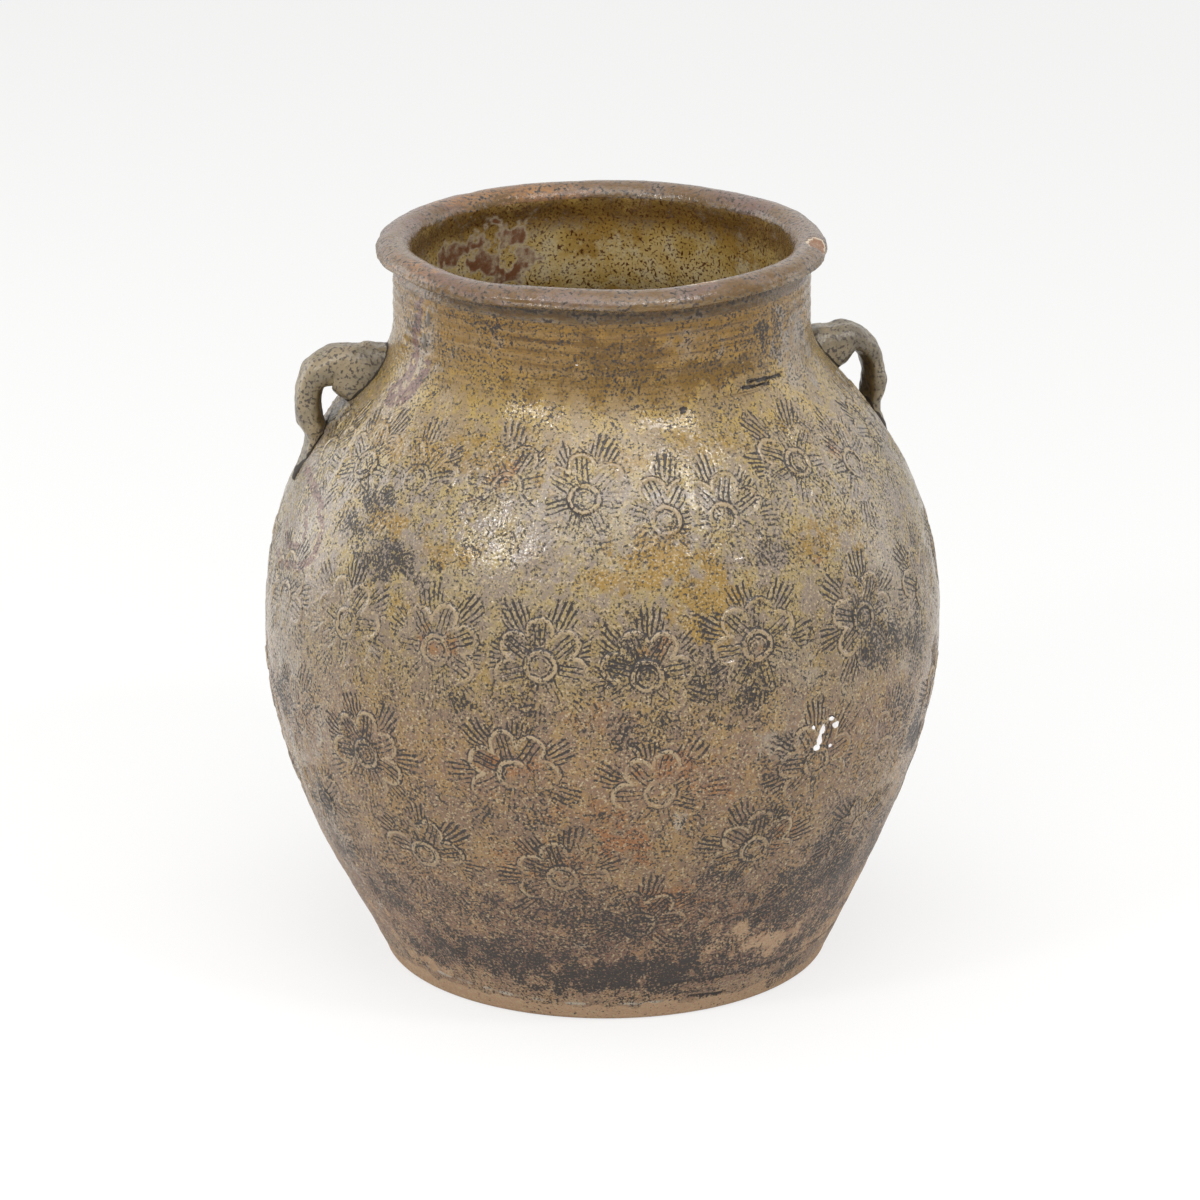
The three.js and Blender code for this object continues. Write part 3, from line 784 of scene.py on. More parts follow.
def outside_glaze(tree, place, pressed, raised):
    """The outside's colour and roughness: an ochre ash glaze that is duller low down, amber pools, rust,
    soot in the pressed lines, painted shade, a painted sheen and painted glints, and bare clay. Each coat
    lies over the ones before it."""
    height = add(tree, "ShaderNodeSeparateXYZ", {"Vector": place}, out="Z")
    sway = add(tree, "ShaderNodeTexNoise", {"Vector": place, "Scale": fineness(40), "Detail": 4}, out="Fac")
    level = add(
        tree, "ShaderNodeMath", {"Value": sway, "Value_001": SWAY, "Value_002": height},
        operation="MULTIPLY_ADD",
    )
    share = add(tree, "ShaderNodeMapRange", {
        "Value": level, "From Min": SWAY / 2, "From Max": JAR_HEIGHT + SWAY / 2,
    })
    ground_tint = add(tree, "ShaderNodeValToRGB", {"Fac": share}, out="Color", stops=GROUND_TINTS)
    ochre_tint = add(tree, "ShaderNodeValToRGB", {"Fac": share}, out="Color", stops=OCHRE_TINTS)
    amber_tint = add(tree, "ShaderNodeValToRGB", {"Fac": share}, out="Color", stops=[
        (0.6, "#937538"), (0.92, "#634717"), (0.8, "#8a6a28"),
    ])
    grain, light_grain, crumbs, cloud, runs, streak = glaze_noises(tree, place)
    on_neck = add(tree, "ShaderNodeMapRange", {
        "Value": height, "From Min": 270 * MM, "From Max": 292 * MM,
    })
    painted = {
        name: add(tree, "ShaderNodeAttribute", out="Fac", attribute_name=name)
        for name in ("soot_and_shade", "amber", "rust", "bare", "pale", "film_and_sheen", "chip_and_glint", "slip", "tear")
    }
    dry = add(tree, "ShaderNodeMapRange", {
        "Value": level, "From Min": 60 * MM, "From Max": 180 * MM, "To Min": 0.42, "To Max": 0.13,
    })
    surface = ground_tint, dry
    ochre = ragged(tree, 0.97, 1.12, (crumbs, 1), (runs, 0.6), (cloud, 0.5))
    surface = coat(tree, surface, ochre, ochre_tint, dry)
    thrown = ragged(tree, 1.0, 1.24, (streak, 1.0), (crumbs, 0.2), (on_neck, 0.40))
    surface = coat(tree, surface, thrown, "#5a401b", 0.12)
    lit_lines = ragged(tree, -0.08, 0.14, (streak, -1.0), (on_neck, 0.40))
    surface = coat(tree, surface, lit_lines, "#9a7d4c", 0.12)
    # Grey film, and a painted sheen at the sides and on the shoulder
    film_and_sheen = ragged(tree, 0.72, 1.00, (crumbs, 0.5), (runs, 0.6), (painted["film_and_sheen"], 0.34))
    surface = coat(tree, surface, film_and_sheen, "#90877c", 0.16)
    # Scuffs and crust, and the painted highlight over the bare foot
    pale = ragged(tree, 0.80, 1.02, (crumbs, 0.7), (grain, 0.5), (painted["pale"], 0.34))
    surface = coat(tree, surface, pale, "#aca293", 0.2)
    rust = ragged(tree, 0.62, 0.90, (crumbs, 0.8), (cloud, 0.4), (painted["rust"], 0.28))
    surface = coat(tree, surface, rust, "#8b5a2d", 0.3)
    amber = ragged(tree, 0.60, 0.88, (crumbs, 0.6), (runs, 0.5), (painted["amber"], 0.36))
    surface = coat(tree, surface, amber, amber_tint, 0.1)
    slip = ragged(tree, 0.41, 0.70, (crumbs, 0.55), (painted["slip"], 0.5))
    surface = coat(tree, surface, slip, "#6f4f43", 0.3)
    bare = ragged(tree, 0.76, 0.96, (crumbs, 0.8), (cloud, 0.3), (painted["bare"], 0.5))
    surface = coat(tree, surface, bare, CLAY, 0.7)
    light = ragged(tree, 0.50, 0.70, (light_grain, 1), (on_neck, -0.12))
    surface = coat(tree, surface, light, "#ad9a79", 0.15)
    stands_out = ragged(tree, 0.55, 1.05, (grain, 0.7), (raised, 0.6))
    surface = coat(tree, surface, stands_out, "#a59070", 0.15)
    # Soot in the grain and the pressed lines, and painted shade under the lip and at the foot
    soot_and_shade = ragged(
        tree, 1.10, 1.32, (grain, 1.3), (cloud, 0.5), (crumbs, 0.4), (painted["soot_and_shade"], 0.2),
        (pressed, 0.27), (bare, -0.12), (on_neck, 0.02),
    )
    surface = coat(tree, surface, soot_and_shade, SOOT_AND_SHADE_TINT, 0.5)
    tear = ragged(tree, 0.35, 0.5, (painted["tear"], 1))
    surface = coat(tree, surface, tear, "#645b50", 0.3)
    # Painted glints in glossy near white
    chip_and_glint = ragged(tree, 0.62, 0.70, (crumbs, 0.5), (painted["chip_and_glint"], 0.6))
    return coat(tree, surface, chip_and_glint, "#f2eff0", 0.15)


def inside_glaze(tree, place):
    """The inside's colour and roughness: a runny olive amber glaze, burnt specks and a bare red patch."""
    cloud = add(tree, "ShaderNodeTexNoise", {"Vector": place, "Scale": fineness(14), "Detail": 5}, out="Fac")
    tint = add(tree, "ShaderNodeValToRGB", {"Fac": cloud}, out="Color", stops=[
        (0.38, "#8b6c33"), (0.66, "#b09968"), (0.50, "#9e8348"),
    ])
    crumbs = add(
        tree, "ShaderNodeTexNoise",
        {"Vector": place, "Scale": fineness(4), "Detail": 5, "Roughness": 0.65}, out="Fac",
    )
    grain = add(
        tree, "ShaderNodeTexNoise", {"Vector": place, "Scale": fineness(0.62), "Detail": 3}, out="Fac",
    )
    red = add(tree, "ShaderNodeAttribute", out="Fac", attribute_name="red")
    burnt = add(tree, "ShaderNodeAttribute", out="Fac", attribute_name="burnt")
    surface = tint, 0.26
    khaki = ragged(tree, 0.42, 0.70, (crumbs, 1))
    surface = coat(tree, surface, khaki, "#b3a27a", 0.26)
    under_lip = ragged(tree, 0.5, 1.0, (crumbs, 0.7), (burnt, 0.55))
    surface = coat(tree, surface, under_lip, "#64481f", 0.2)
    specks = ragged(tree, 0.78, 0.94, (grain, 1.25), (cloud, 0.15), (crumbs, 0.1), (burnt, 0.03))
    surface = coat(tree, surface, specks, "#482810", 0.3)
    crust = ragged(tree, 0.50, 0.78, (crumbs, 0.7), (grain, 0.25), (red, 0.36))
    surface = coat(tree, surface, crust, "#a3947c", 0.6)
    patch = ragged(tree, 0.56, 0.76, (crumbs, 0.7), (red, 0.40))
    return coat(tree, surface, patch, "#69442c", 0.4)


def glazed(name, surface, grittiness):
    """Glazed stoneware with an IOR of 1.5, and a bump this strong from the grit under the glaze."""
    material = bpy.data.materials.new(name)
    material.use_nodes = True
    tree = material.node_tree
    tree.nodes.clear()
    place = add(tree, "ShaderNodeTexCoord", out="Object")
    (tint, rough), height = surface(tree, place)
    bump = add(
        tree, "ShaderNodeBump", {"Height": height, "Strength": grittiness, "Distance": MM}, out="Normal",
    )
    shader = add(tree, "ShaderNodeBsdfPrincipled", {
        "Base Color": tint, "Roughness": rough, "Normal": bump, "IOR": 1.5,
    })
    add(tree, "ShaderNodeOutputMaterial", {"Surface": shader})
    return material


def body_surface(tree, place):
    """The ash glaze of the walls: thin and worn outside, fat and glossy inside."""
    pressed, raised = stamp_masks(tree, place)
    inner_tint, inner_rough = inside_glaze(tree, place)
    inside = add(tree, "ShaderNodeAttribute", out="Fac", attribute_name="inside")
    outer = outside_glaze(tree, place, pressed, raised)
    grit = add(
        tree, "ShaderNodeTexNoise", {"Vector": place, "Scale": fineness(0.9), "Detail": 3}, out="Fac",
    )
    height = 0.0
    for field, weight in ((grit, 0.55), (pressed, -0.3), (raised, 0.15)):
        height = add(
            tree, "ShaderNodeMath", {"Value": field, "Value_001": weight, "Value_002": height},
            operation="MULTIPLY_ADD",
        )
    return coat(tree, outer, inside, inner_tint, inner_rough), height


# Wood ash glaze, poured on thin and fired: brown, ochre and grey specks with small sharp glints
body_glaze = glazed("ochre_ash_glaze", body_surface, 0.5)

foot_side = outside_rows(FOOT_EDGE, FLOOR_TOP)
foot_round = [
    (foot_side[0][0] - FOOT_EDGE * (1 - math.cos(turn)), FOOT_EDGE * (1 - math.sin(turn)))
    for turn in np.linspace(math.pi / 2, 0, FOOT_EDGE_STEPS)[:-1]
]
underside = [(radius, 0) for radius in evenly(0, foot_round[0][0], INSIDE_ROW)[:-1]]
disc_top = [(radius, FLOOR_TOP) for radius in evenly(foot_side[-1][0], 0, INSIDE_ROW)[1:]]
foot_disc = turned("foot_disc", underside + foot_round + foot_side + disc_top, closed=False)
foot_places = places_of(foot_disc)
foot_inside = (foot_places[:, 2] > FLOOR_TOP - ROW / 4) * (
    radius_of(foot_places) < outside_at(FLOOR_TOP) - WALL / 2
)
weathered(foot_disc, foot_places, foot_inside.astype(float))
foot_rim = eased(radius_of(foot_places), FOOT_RADIUS - WALL, FOOT_RADIUS)
foot_lift = surface_relief(foot_places) * foot_rim * (1 - foot_inside)
raise_skin(foot_disc, foot_places, foot_lift)
smooth_faces(foot_disc)
foot_disc.data.materials.append(body_glaze)
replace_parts(foot_disc, "base_disc")
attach(foot_disc, "root")

# The wall courses
# Coils of stoneware clay, beaten and scraped to a wall 8 mm thick. While the clay was soft, the potter
# pressed rows of flower stamps into it. Ash glaze ran over them, and soot sits in the pressed lines.
LOWER_COURSES = 3
UPPER_COURSES = 4
BODY_JOINT = 140 * MM
NECK_JOINT = 294 * MM
# Where a stamp ends and where it starts to fade, and how wide the plain gap between two stamps is, from
# where nothing is pressed to where both are whole, in millimetres
STAMP_REACH = 34
STAMP_FADE = 28
STAMP_GAP = (2.4, 5)

# Stamps on the side that the photo shows: bearing in degrees, height in millimetres, strength
STAMPS = [
    (-57, 253, 0.8), (-41, 254, 0.65), (-20, 257, 0.65), (-3.5, 255, 0.85), (12.5, 246, 0.75),
    (24, 245, 0.75), (46, 259, 1.0), (62.5, 251, 0.75), (-68.5, 187, 0.75), (-48, 190, 0.75),
    (-28.5, 189, 0.8), (-10, 187, 0.95), (7.5, 183, 1.05), (26.5, 192, 0.95), (50, 191, 0.95),
    (70.5, 188, 0.7), (-62, 134, 0.6), (-43, 132, 1.05), (-14.5, 137, 1.05), (9.5, 128, 0.85),
    (38, 132, 0.75), (56, 124, 0.6), (-59, 96, 0.7), (-33.5, 87, 1.0), (-7, 84, 0.75),
    (28, 93, 1.0), (55, 86, 0.75), (7.5, 57, 0.7), (28, 50, 0.5), (-52, 60, 0.35),
]
# Rows on the far side: height, first and last bearing, number of stamps
FAR_ROWS = [
    (252, 79, 287, 14), (189, 90, 272, 10), (131, 80, 276, 9), (90, 82, 278, 8), (54, 100, 260, 5),
]


def all_stamps():
    """Every stamp: bearing, height, strength, the turn of the stamp and the lean of the press."""
    dice = np.random.default_rng(21)
    places = list(STAMPS)
    for height, first, last, count in FAR_ROWS:
        for bearing in np.linspace(first, last, count):
            jolt = dice.uniform(-3, 3, 2)
            places.append((bearing + jolt[0], height + jolt[1], dice.uniform(0.6, 1.05)))
    return [(*place, dice.uniform(0, 2 * math.pi), dice.uniform(-0.7, 0.7)) for place in places]


def line(values, middle, width):
    """1 on a line, fading to 0 within about its width."""
    return np.exp(-((values - middle) / width) ** 2)


def petals(rho, theta, shift, root, tip, half_width):
    """How far outside the nearest petal of a round each place is, and how far from its middle line."""
    sector = 2 * math.pi / PETALS
    fold = (theta + shift * sector + sector / 2) % sector - sector / 2
    along = rho * np.cos(fold)
    across = rho * np.sin(fold)
    return np.hypot(along - np.clip(along, root, tip), across) - half_width, across


def flower(u, v):
    """The stamp's relief in millimetres: a boss in a ring, petals with raised edges and veins, and an
    outer round of longer petals that shows between them."""
    rho = np.hypot(u, v)
    theta = np.arctan2(v, u)
    past_ring = eased(rho, 7.8, 8.8)
    relief = 0.3 * np.clip(1 - (rho / 4.4) ** 2, 0, 1) + 0.4 * line(rho, 6.2, 1.0)
    relief -= 0.3 * line(rho, 4.8, 0.6) + 0.25 * line(rho, 7.8, 0.6)
    edge, across = petals(rho, theta, 0, *INNER_PETALS)
    veins = np.cos(2 * math.pi * across / VEIN_PITCH)
    relief += past_ring * (0.45 * line(edge, -1.1, 0.9) - eased(-edge, 1.6, 2.6) * (0.35 + 0.14 * veins))
    relief -= past_ring * 0.2 * line(edge, 0.4, 0.7)
    far_edge = petals(rho, theta, 0.5, *OUTER_PETALS)[0]
    between_petals = eased(edge, 0.4, 1.2) * past_ring
    relief -= between_petals * eased(-far_edge, 0.6, 1.8) * (0.12 + 0.16 * np.cos(RAYS * theta))
    return relief


def stamp_coordinates(places, length):
    """Each place on the stamp that shows there, in millimetres from its middle, and how hard it was
    pressed. Where two stamps meet, one stops and the other starts with nothing pressed between them."""
    bearing = bearing_of(places)
    radius = radius_of(places)
    faint = 0.95 + 0.3 * lumps(places, 20 * MM, 31)
    nearest = np.full(len(places), 2.0 * STAMP_REACH)
    second = nearest.copy()
    spot = np.zeros((len(places), 3))
    press = np.zeros(len(places))
    for side, height, strength, turn, lean in all_stamps():
        up = (length - length_at(height * MM)) / MM
        across = np.radians((bearing - side + 180) % 360 - 180) * radius / MM
        distance = np.hypot(across, up) * (1.15 - 0.2 * strength)
        second = np.where(distance < nearest, nearest, np.minimum(second, distance))
        first = distance < nearest
        nearest = np.where(first, distance, nearest)
        turned_u = across * math.cos(turn) - up * math.sin(turn)
        turned_v = across * math.sin(turn) + up * math.cos(turn)
        spot[first] = np.column_stack([turned_u, turned_v, np.zeros(len(places))])[first]
        tilt = 0.95 + 0.022 * (up * math.cos(lean) + across * math.sin(lean))
        press = np.where(first, strength * tilt, press)
    fade = 1 - eased(radius_of(spot), STAMP_FADE, STAMP_REACH)
    return spot, np.clip(press * faint, 0.1, 1.2) * fade * eased(second - nearest, *STAMP_GAP)


def wall_course(name, low, high):
    """One course of the wall, with everything that was pressed, scraped and burnt into it."""
    profile = outside_rows(low, high) + inside_rows(low, high)[::-1]
    piece = turned(name, profile)
    places = places_of(piece)
    outside = outer_skin(places)
    spot, press = stamp_coordinates(places, length_at(places[:, 2]))
    weathered(piece, places, 1 - outside)
    paint(piece, "press", press * outside)
    stamp = piece.data.attributes.new("stamp", "FLOAT_VECTOR", "POINT")
    stamp.data.foreach_set("vector", spot.ravel().astype(np.float32))
    lift = surface_relief(places) + flower(spot[:, 0], spot[:, 1]) * press
    raise_skin(piece, places, lift * outside)
    smooth_faces(piece, 70)
    piece.data.materials.append(body_glaze)
    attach(piece, "root")
    return piece


def course_heights(low, high, count):
    """The heights between which a stretch of wall is built in courses of equal length."""
    heights = height_at(np.linspace(length_at(low), length_at(high), count + 1))
    return [low, *heights[1:-1], high]


lower_heights = course_heights(FLOOR_TOP, BODY_JOINT, LOWER_COURSES)
for number, (low, high) in enumerate(zip(lower_heights, lower_heights[1:]), 1):
    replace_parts(wall_course(f"lower_course_{number}", low, high), "lower_wall")

upper_heights = course_heights(BODY_JOINT, NECK_JOINT, UPPER_COURSES)
for number, (low, high) in enumerate(zip(upper_heights, upper_heights[1:]), 1):
    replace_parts(wall_course(f"upper_course_{number}", low, high), "upper_wall")

# The neck
# Thrown on top of the coiled body, so fine rings from the potter's fingers run round it. The glaze is
# thickest here and burnt to amber, and a red-brown slip ran down its left side.
NECK_INSIDE_ROW = 1.5 * MM
# Where the glaze inside is burnt darkest, under the lip, and how far that reaches, in millimetres
BURNT_HEIGHT = 328
BURNT_REACH = 12
# The red patch inside, where the glaze crawled off the clay: bearing, height, half width and half height
RED_PATCHES = [
    (-126, 316, 10, 7, 1.0), (-139, 312, 14, 11, 1.0), (-146, 298, 12, 6, 1.0), (-150, 320, 10, 5, 0.9),
    (-131, 303, 11, 6, 0.9), (-118, 308, 8, 5, 0.7), (-128, 288, 12, 5, 0.6), (-155, 306, 6, 5, 0.7),
]


def inner_marks(piece, places):
    """Paints the bare red patch and the burnt glaze under the lip on the inside of the mouth."""
    paint(piece, "red", round_marks(places, RED_PATCHES, 33, 0.5))
    paint(piece, "burnt", line(places[:, 2] / MM, BURNT_HEIGHT, BURNT_REACH))


neck_inner = inside_rows(NECK_JOINT, RIM_SEAT, NECK_INSIDE_ROW)
neck = turned("neck_ring", outside_rows(NECK_JOINT, RIM_SEAT) + neck_inner[::-1])
neck_places = places_of(neck)
neck_outside = outer_skin(neck_places)
weathered(neck, neck_places, 1 - neck_outside)
inner_marks(neck, neck_places)
neck_lift = surface_relief(neck_places) * neck_outside
raise_skin(neck, neck_places, neck_lift)
smooth_faces(neck, 70)
neck.data.materials.append(body_glaze)
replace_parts(neck, "neck_collar")
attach(neck, "root")

# The rim
# The top of the neck, rolled outwards between finger and thumb into a flat-bellied lip. Its glaze has
# worn to a mauve brown, with chips down to the orange clay.
RIM_OVERHANG = 7.4 * MM
MOUTH_INSET = 0.7 * MM
CROWN_RISE = 6.6 * MM
UNDER_DROP = 2.2 * MM
ROLL_ROW = 0.7 * MM
MOUTH_STEPS = 10
# How far above the roll's middle the glaze of the inside starts
INNER_GLAZE_RISE = 1.6 * MM
# Heights between which the rubbed crown sets in, and the height, half width and depth of the groove that
# a finger left round the lip, in millimetres
CROWN_START = (332.5, 338)
LIP_GROOVE_HEIGHT = 334.6
LIP_GROOVE_WIDTH = 0.7
LIP_GROOVE_DEPTH = 0.45
# Where hands and lids rubbed the lip: bearing and reach in degrees, and strength
RUBBED_PLACES = [(-150, 40, 1.0), (-60, 30, 0.7)]
# Chips down to the clay: bearing, then radius and height of the middle, half length, half width and depth
RIM_CHIPS = [(83, 98.5, 340, 9, 6.5, 1.5), (29, 92.5, 339.5, 8, 1.6, 0.5), (-140, 97, 340, 7, 3, 0.7)]
roll_reach = (RIM_OVERHANG + WALL + MOUTH_INSET) / 2
roll_radius = NECK_RADIUS + RIM_OVERHANG - roll_reach
roll_height = JAR_HEIGHT - CROWN_RISE


def roll_arc(first, last, rise):
    """Points of the roll's outline from one angle to another, on an ellipse of that rise."""
    turns = evenly(first, last, ROLL_ROW / roll_reach)
    return [
        (roll_radius + roll_reach * math.cos(turn), roll_height + rise * math.sin(turn))
        for turn in turns
    ]


crease_turn = -math.acos((NECK_RADIUS - roll_radius) / roll_reach)
roll_under = roll_arc(crease_turn, 0, UNDER_DROP)
roll_crown = roll_arc(0, math.pi, CROWN_RISE)[1:]
rim_upright = [(NECK_RADIUS, height) for height in evenly(RIM_SEAT, roll_under[0][1], ROW)[:-1]]
mouth_line = [
    (between(roll_crown[-1][0], inside_at(RIM_SEAT), share), between(roll_height, RIM_SEAT, share))
    for share in np.linspace(0, 1, MOUTH_STEPS)[1:]
]


def rim_surface(tree, place):
    """The lip's glaze: rubbed to mauve brown on the crown, amber below it, and chipped to orange clay."""
    streaked = add(tree, "ShaderNodeMapping", {"Vector": place, "Scale": (0.4, 0.4, 1.6)})
    cloud = add(
        tree, "ShaderNodeTexNoise",
        {"Vector": streaked, "Scale": fineness(11), "Detail": 5, "Roughness": 0.6}, out="Fac",
    )
    crumbs = add(
        tree, "ShaderNodeTexNoise",
        {"Vector": streaked, "Scale": fineness(2.4), "Detail": 5, "Roughness": 0.7}, out="Fac",
    )
    grain = add(
        tree, "ShaderNodeTexNoise", {"Vector": place, "Scale": fineness(0.8), "Detail": 3}, out="Fac",
    )
    painted = {
        name: add(tree, "ShaderNodeAttribute", out="Fac", attribute_name=name)
        for name in ("crown", "chipped", "rubbed", "soot_and_shade")
    }
    surface = "#644a25", 0.15
    khaki = ragged(tree, 0.40, 0.62, (crumbs, 1))
    surface = coat(tree, surface, khaki, "#7c6744", 0.15)
    worn = ragged(tree, 0.68, 0.96, (crumbs, 0.8), (cloud, 0.4), (painted["crown"], 0.26))
    surface = coat(tree, surface, worn, "#735b45", 0.2)
    mauve = ragged(
        tree, 0.72, 0.92, (cloud, 0.9), (crumbs, 0.4), (painted["crown"], 0.06), (painted["rubbed"], 0.12),
    )
    surface = coat(tree, surface, mauve, "#705852", 0.25)
    orange = ragged(tree, 0.82, 1.0, (crumbs, 0.8), (cloud, 0.5), (painted["rubbed"], 0.3))
    surface = coat(tree, surface, orange, "#93683a", 0.3)
    pale = ragged(tree, 0.53, 0.70, (crumbs, 0.6), (grain, 0.5))
    surface = coat(tree, surface, pale, "#978a7f", 0.25)
    # Soot, and the painted shadow under the lip
    soot_and_shade = ragged(tree, 0.76, 1.0, (grain, 1.0), (crumbs, 0.6), (painted["soot_and_shade"], 0.25))
    surface = coat(tree, surface, soot_and_shade, "#332619", 0.35)
    chip_edge = ragged(tree, 0.35, 0.5, (crumbs, 0.3), (painted["chipped"], 0.5))
    surface = coat(tree, surface, chip_edge, "#c6b7a2", 0.6)
    chip_and_glint = ragged(tree, 0.5, 0.66, (crumbs, 0.3), (painted["chipped"], 0.5))
    surface = coat(tree, surface, chip_and_glint, "#7f5b43", 0.6)
    inner_tint, inner_rough = inside_glaze(tree, place)
    inside = add(tree, "ShaderNodeAttribute", out="Fac", attribute_name="inside")
    covered = ragged(tree, 0.7, 0.8, (crumbs, 0.4), (inside, 1))
    height = add(tree, "ShaderNodeMath", {"Value": grain, "Value_001": 0.4}, operation="MULTIPLY")
    return coat(tree, surface, covered, inner_tint, inner_rough), height


rim = turned("rolled_lip", rim_upright + roll_under + roll_crown + mouth_line)
rim_places = places_of(rim)
rim_radius = radius_of(rim_places)
rim_bearing = bearing_of(rim_places)
rim_depth = (roll_height + INNER_GLAZE_RISE - rim_places[:, 2]) / MM
weathered(rim, rim_places, eased(rim_depth, 0, 2.4) * (rim_radius < roll_radius))
inner_marks(rim, rim_places)
paint(rim, "crown", eased(rim_places[:, 2] / MM, *CROWN_START))
rubbed = np.zeros(len(rim_places))
for side, reach, strength in RUBBED_PLACES:
    rubbed += strength * line(rim_bearing, side, reach)
paint(rim, "rubbed", rubbed)
chipped = np.zeros(len(rim_places))
dent = np.zeros(len(rim_places))
for side, radius, height, half_length, half_width, depth in RIM_CHIPS:
    across = apart_on_wall(rim_places, side, height)[0]
    over = np.hypot(rim_radius / MM - radius, rim_places[:, 2] / MM - height)
    distance = np.hypot(across / half_length, over / half_width) + 0.12 * lumps(rim_places, 3 * MM, 66)
    chipped = np.maximum(chipped, 1 - eased(distance, 0.7, 1.2))
    dent = np.maximum(dent, depth * (1 - eased(distance, 0.4, 1.1)))
paint(rim, "chipped", chipped)
rim_share = eased(rim_places[:, 2], RIM_SEAT, roll_height)
rim_swell = 0.45 * lumps(rim_places, 80 * MM, 61) + 0.25 * lumps(rim_places, 16 * MM, 62)
rim_swell += 0.1 * lumps(rim_places, 4 * MM, 63)
groove_height = LIP_GROOVE_HEIGHT + 0.5 * lumps(rim_places, 50 * MM, 65)
groove_depth = LIP_GROOVE_DEPTH * (0.6 + 0.4 * lumps(rim_places, 45 * MM, 67))
lip_groove = line(rim_places[:, 2] / MM, groove_height, LIP_GROOVE_WIDTH)
rim_swell -= groove_depth * lip_groove * (rim_radius > roll_radius)
rim_lift = surface_relief(rim_places) * (rim_radius > NECK_RADIUS - WALL / 2) * (1 - rim_share)
rim_lift += rim_swell * rim_share
rim_moved = rim_places.copy()
rim_moved[:, :2] += rim_places[:, :2] / rim_radius[:, None] * (rim_lift * MM)[:, None]
rim_moved[:, 2] += (0.35 * lumps(rim_places, 60 * MM, 64) * rim_share - dent) * MM
move_to(rim, settle(rim_moved))
smooth_faces(rim)
# Ash glaze that hands have rubbed down: soft mauve and brown patches with a dull shine
rim.data.materials.append(glazed("worn_rim_glaze", rim_surface, 0.8))
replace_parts(rim, "rolled_rim")
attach(rim, "root")

# The strap lugs
# Pulled straps of clay for a tie-down cord. Each has a thick flat-topped root luted to the shoulder, an
# eye under its arch and a tail pressed out thin along the wall.
LUG_BEARING = 96.5
LUG_TOP = SHOULDER_HEIGHT + 14.5 * MM
LUG_DROP = 62.5 * MM
LUG_REACH = 22.5 * MM
STRAP_THICKNESS = 10.5 * MM
STRAP_WIDTH = 20 * MM
STRAP_SIDES = 88
STRAP_LENGTH = 140 * MM
STRAP_ROW = 0.6 * MM
STRAP_SQUARENESS = 2.5
# How deep the lugs' ends may reach into the wall
ROOT_DEPTH = 4.5 * MM
# Places along the strap from its root to its tail, in shares: how far down, how far out from the wall,
# half the thickness and half the width
LUG_SHARES = [
    (0.25, -0.36, 1.33, 0.6), (0.2, 0.3, 1.17, 0.575), (0.147, 0.84, 0.74, 0.53), (0.224, 1.02, 0.57, 0.5),
    (0.37, 0.79, 0.5, 0.5), (0.52, 0.45, 0.52, 0.52), (0.664, 0.08, 0.4, 0.48), (0.824, -0.06, 0.25, 0.4),
    (1, -0.05, 0.17, 0.2),
]


def smooth_through(knots, shares):
    """A smooth curve through knots, as rows of values, at shares of the way from first to last."""
    padded = np.vstack([2 * knots[0] - knots[1], knots, 2 * knots[-1] - knots[-2]])
    spot = np.clip(shares * (len(knots) - 1), 0, len(knots) - 1 - 1e-9)
    start = spot.astype(int)
    t = (spot - start)[:, None]
    a, b, c, d = (padded[start + step] for step in range(4))
    bend = 2 * a - 5 * b + 4 * c - d
    twist = 3 * b - a - 3 * c + d
    return 0.5 * (2 * b + (c - a) * t + bend * t ** 2 + twist * t ** 3)


def sunk(places):
    """The places with what is buried kept within the wall: nothing reaches deeper than the root does."""
    radius = radius_of(places)
    outside = outside_at(places[:, 2])
    depth = np.maximum(outside - radius, 0)
    kept = np.where(depth > 0, outside - ROOT_DEPTH * (1 - np.exp(-depth / ROOT_DEPTH)), radius)
    places[:, :2] *= (kept / radius)[:, None]
    return places


def lug_surface(tree, place):
    """The lugs' glaze: olive brown and speckled, ochre down the strap, painted shade on the faces that turn
    to the wall, and a dark line of painted shadow where the strap meets the wall.
    """
    crumbs = add(
        tree, "ShaderNodeTexNoise",
        {"Vector": place, "Scale": fineness(2.4), "Detail": 5, "Roughness": 0.65}, out="Fac",
    )
    grain = add(
        tree, "ShaderNodeTexNoise", {"Vector": place, "Scale": fineness(0.8), "Detail": 3}, out="Fac",
    )
    cloud = add(tree, "ShaderNodeTexNoise", {"Vector": place, "Scale": fineness(8), "Detail": 4}, out="Fac")
    joint_shade = add(tree, "ShaderNodeAttribute", out="Fac", attribute_name="joint_shade")
    under = add(tree, "ShaderNodeAttribute", out="Fac", attribute_name="under")
    tint = add(tree, "ShaderNodeValToRGB", {"Fac": cloud}, out="Color", stops=[
        (0.38, "#6e6555"), (0.62, "#8f8065"), (0.5, "#7f735c"),
    ])
    surface = tint, 0.32
    light = ragged(tree, 0.52, 0.68, (crumbs, 0.5), (grain, 0.5))
    surface = coat(tree, surface, light, "#9b907c", 0.3)
    shade = ragged(tree, 0.4, 1.2, (under, 1), (crumbs, 0.4))
    surface = coat(tree, surface, shade, "#5b4a2b", 0.3)
    specks = ragged(tree, 0.58, 0.70, (grain, 0.95), (crumbs, 0.2))
    surface = coat(tree, surface, specks, "#443a31", 0.4)
    # A painted shadow: the dark line of the crack where the strap meets the wall
    crack_shade = ragged(tree, 0.5, 0.8, (joint_shade, 1), (crumbs, 0.2))
    surface = coat(tree, surface, crack_shade, "#2c241d", 0.7)
    height = add(tree, "ShaderNodeMath", {"Value": grain, "Value_001": 0.5}, operation="MULTIPLY")
    return surface, height


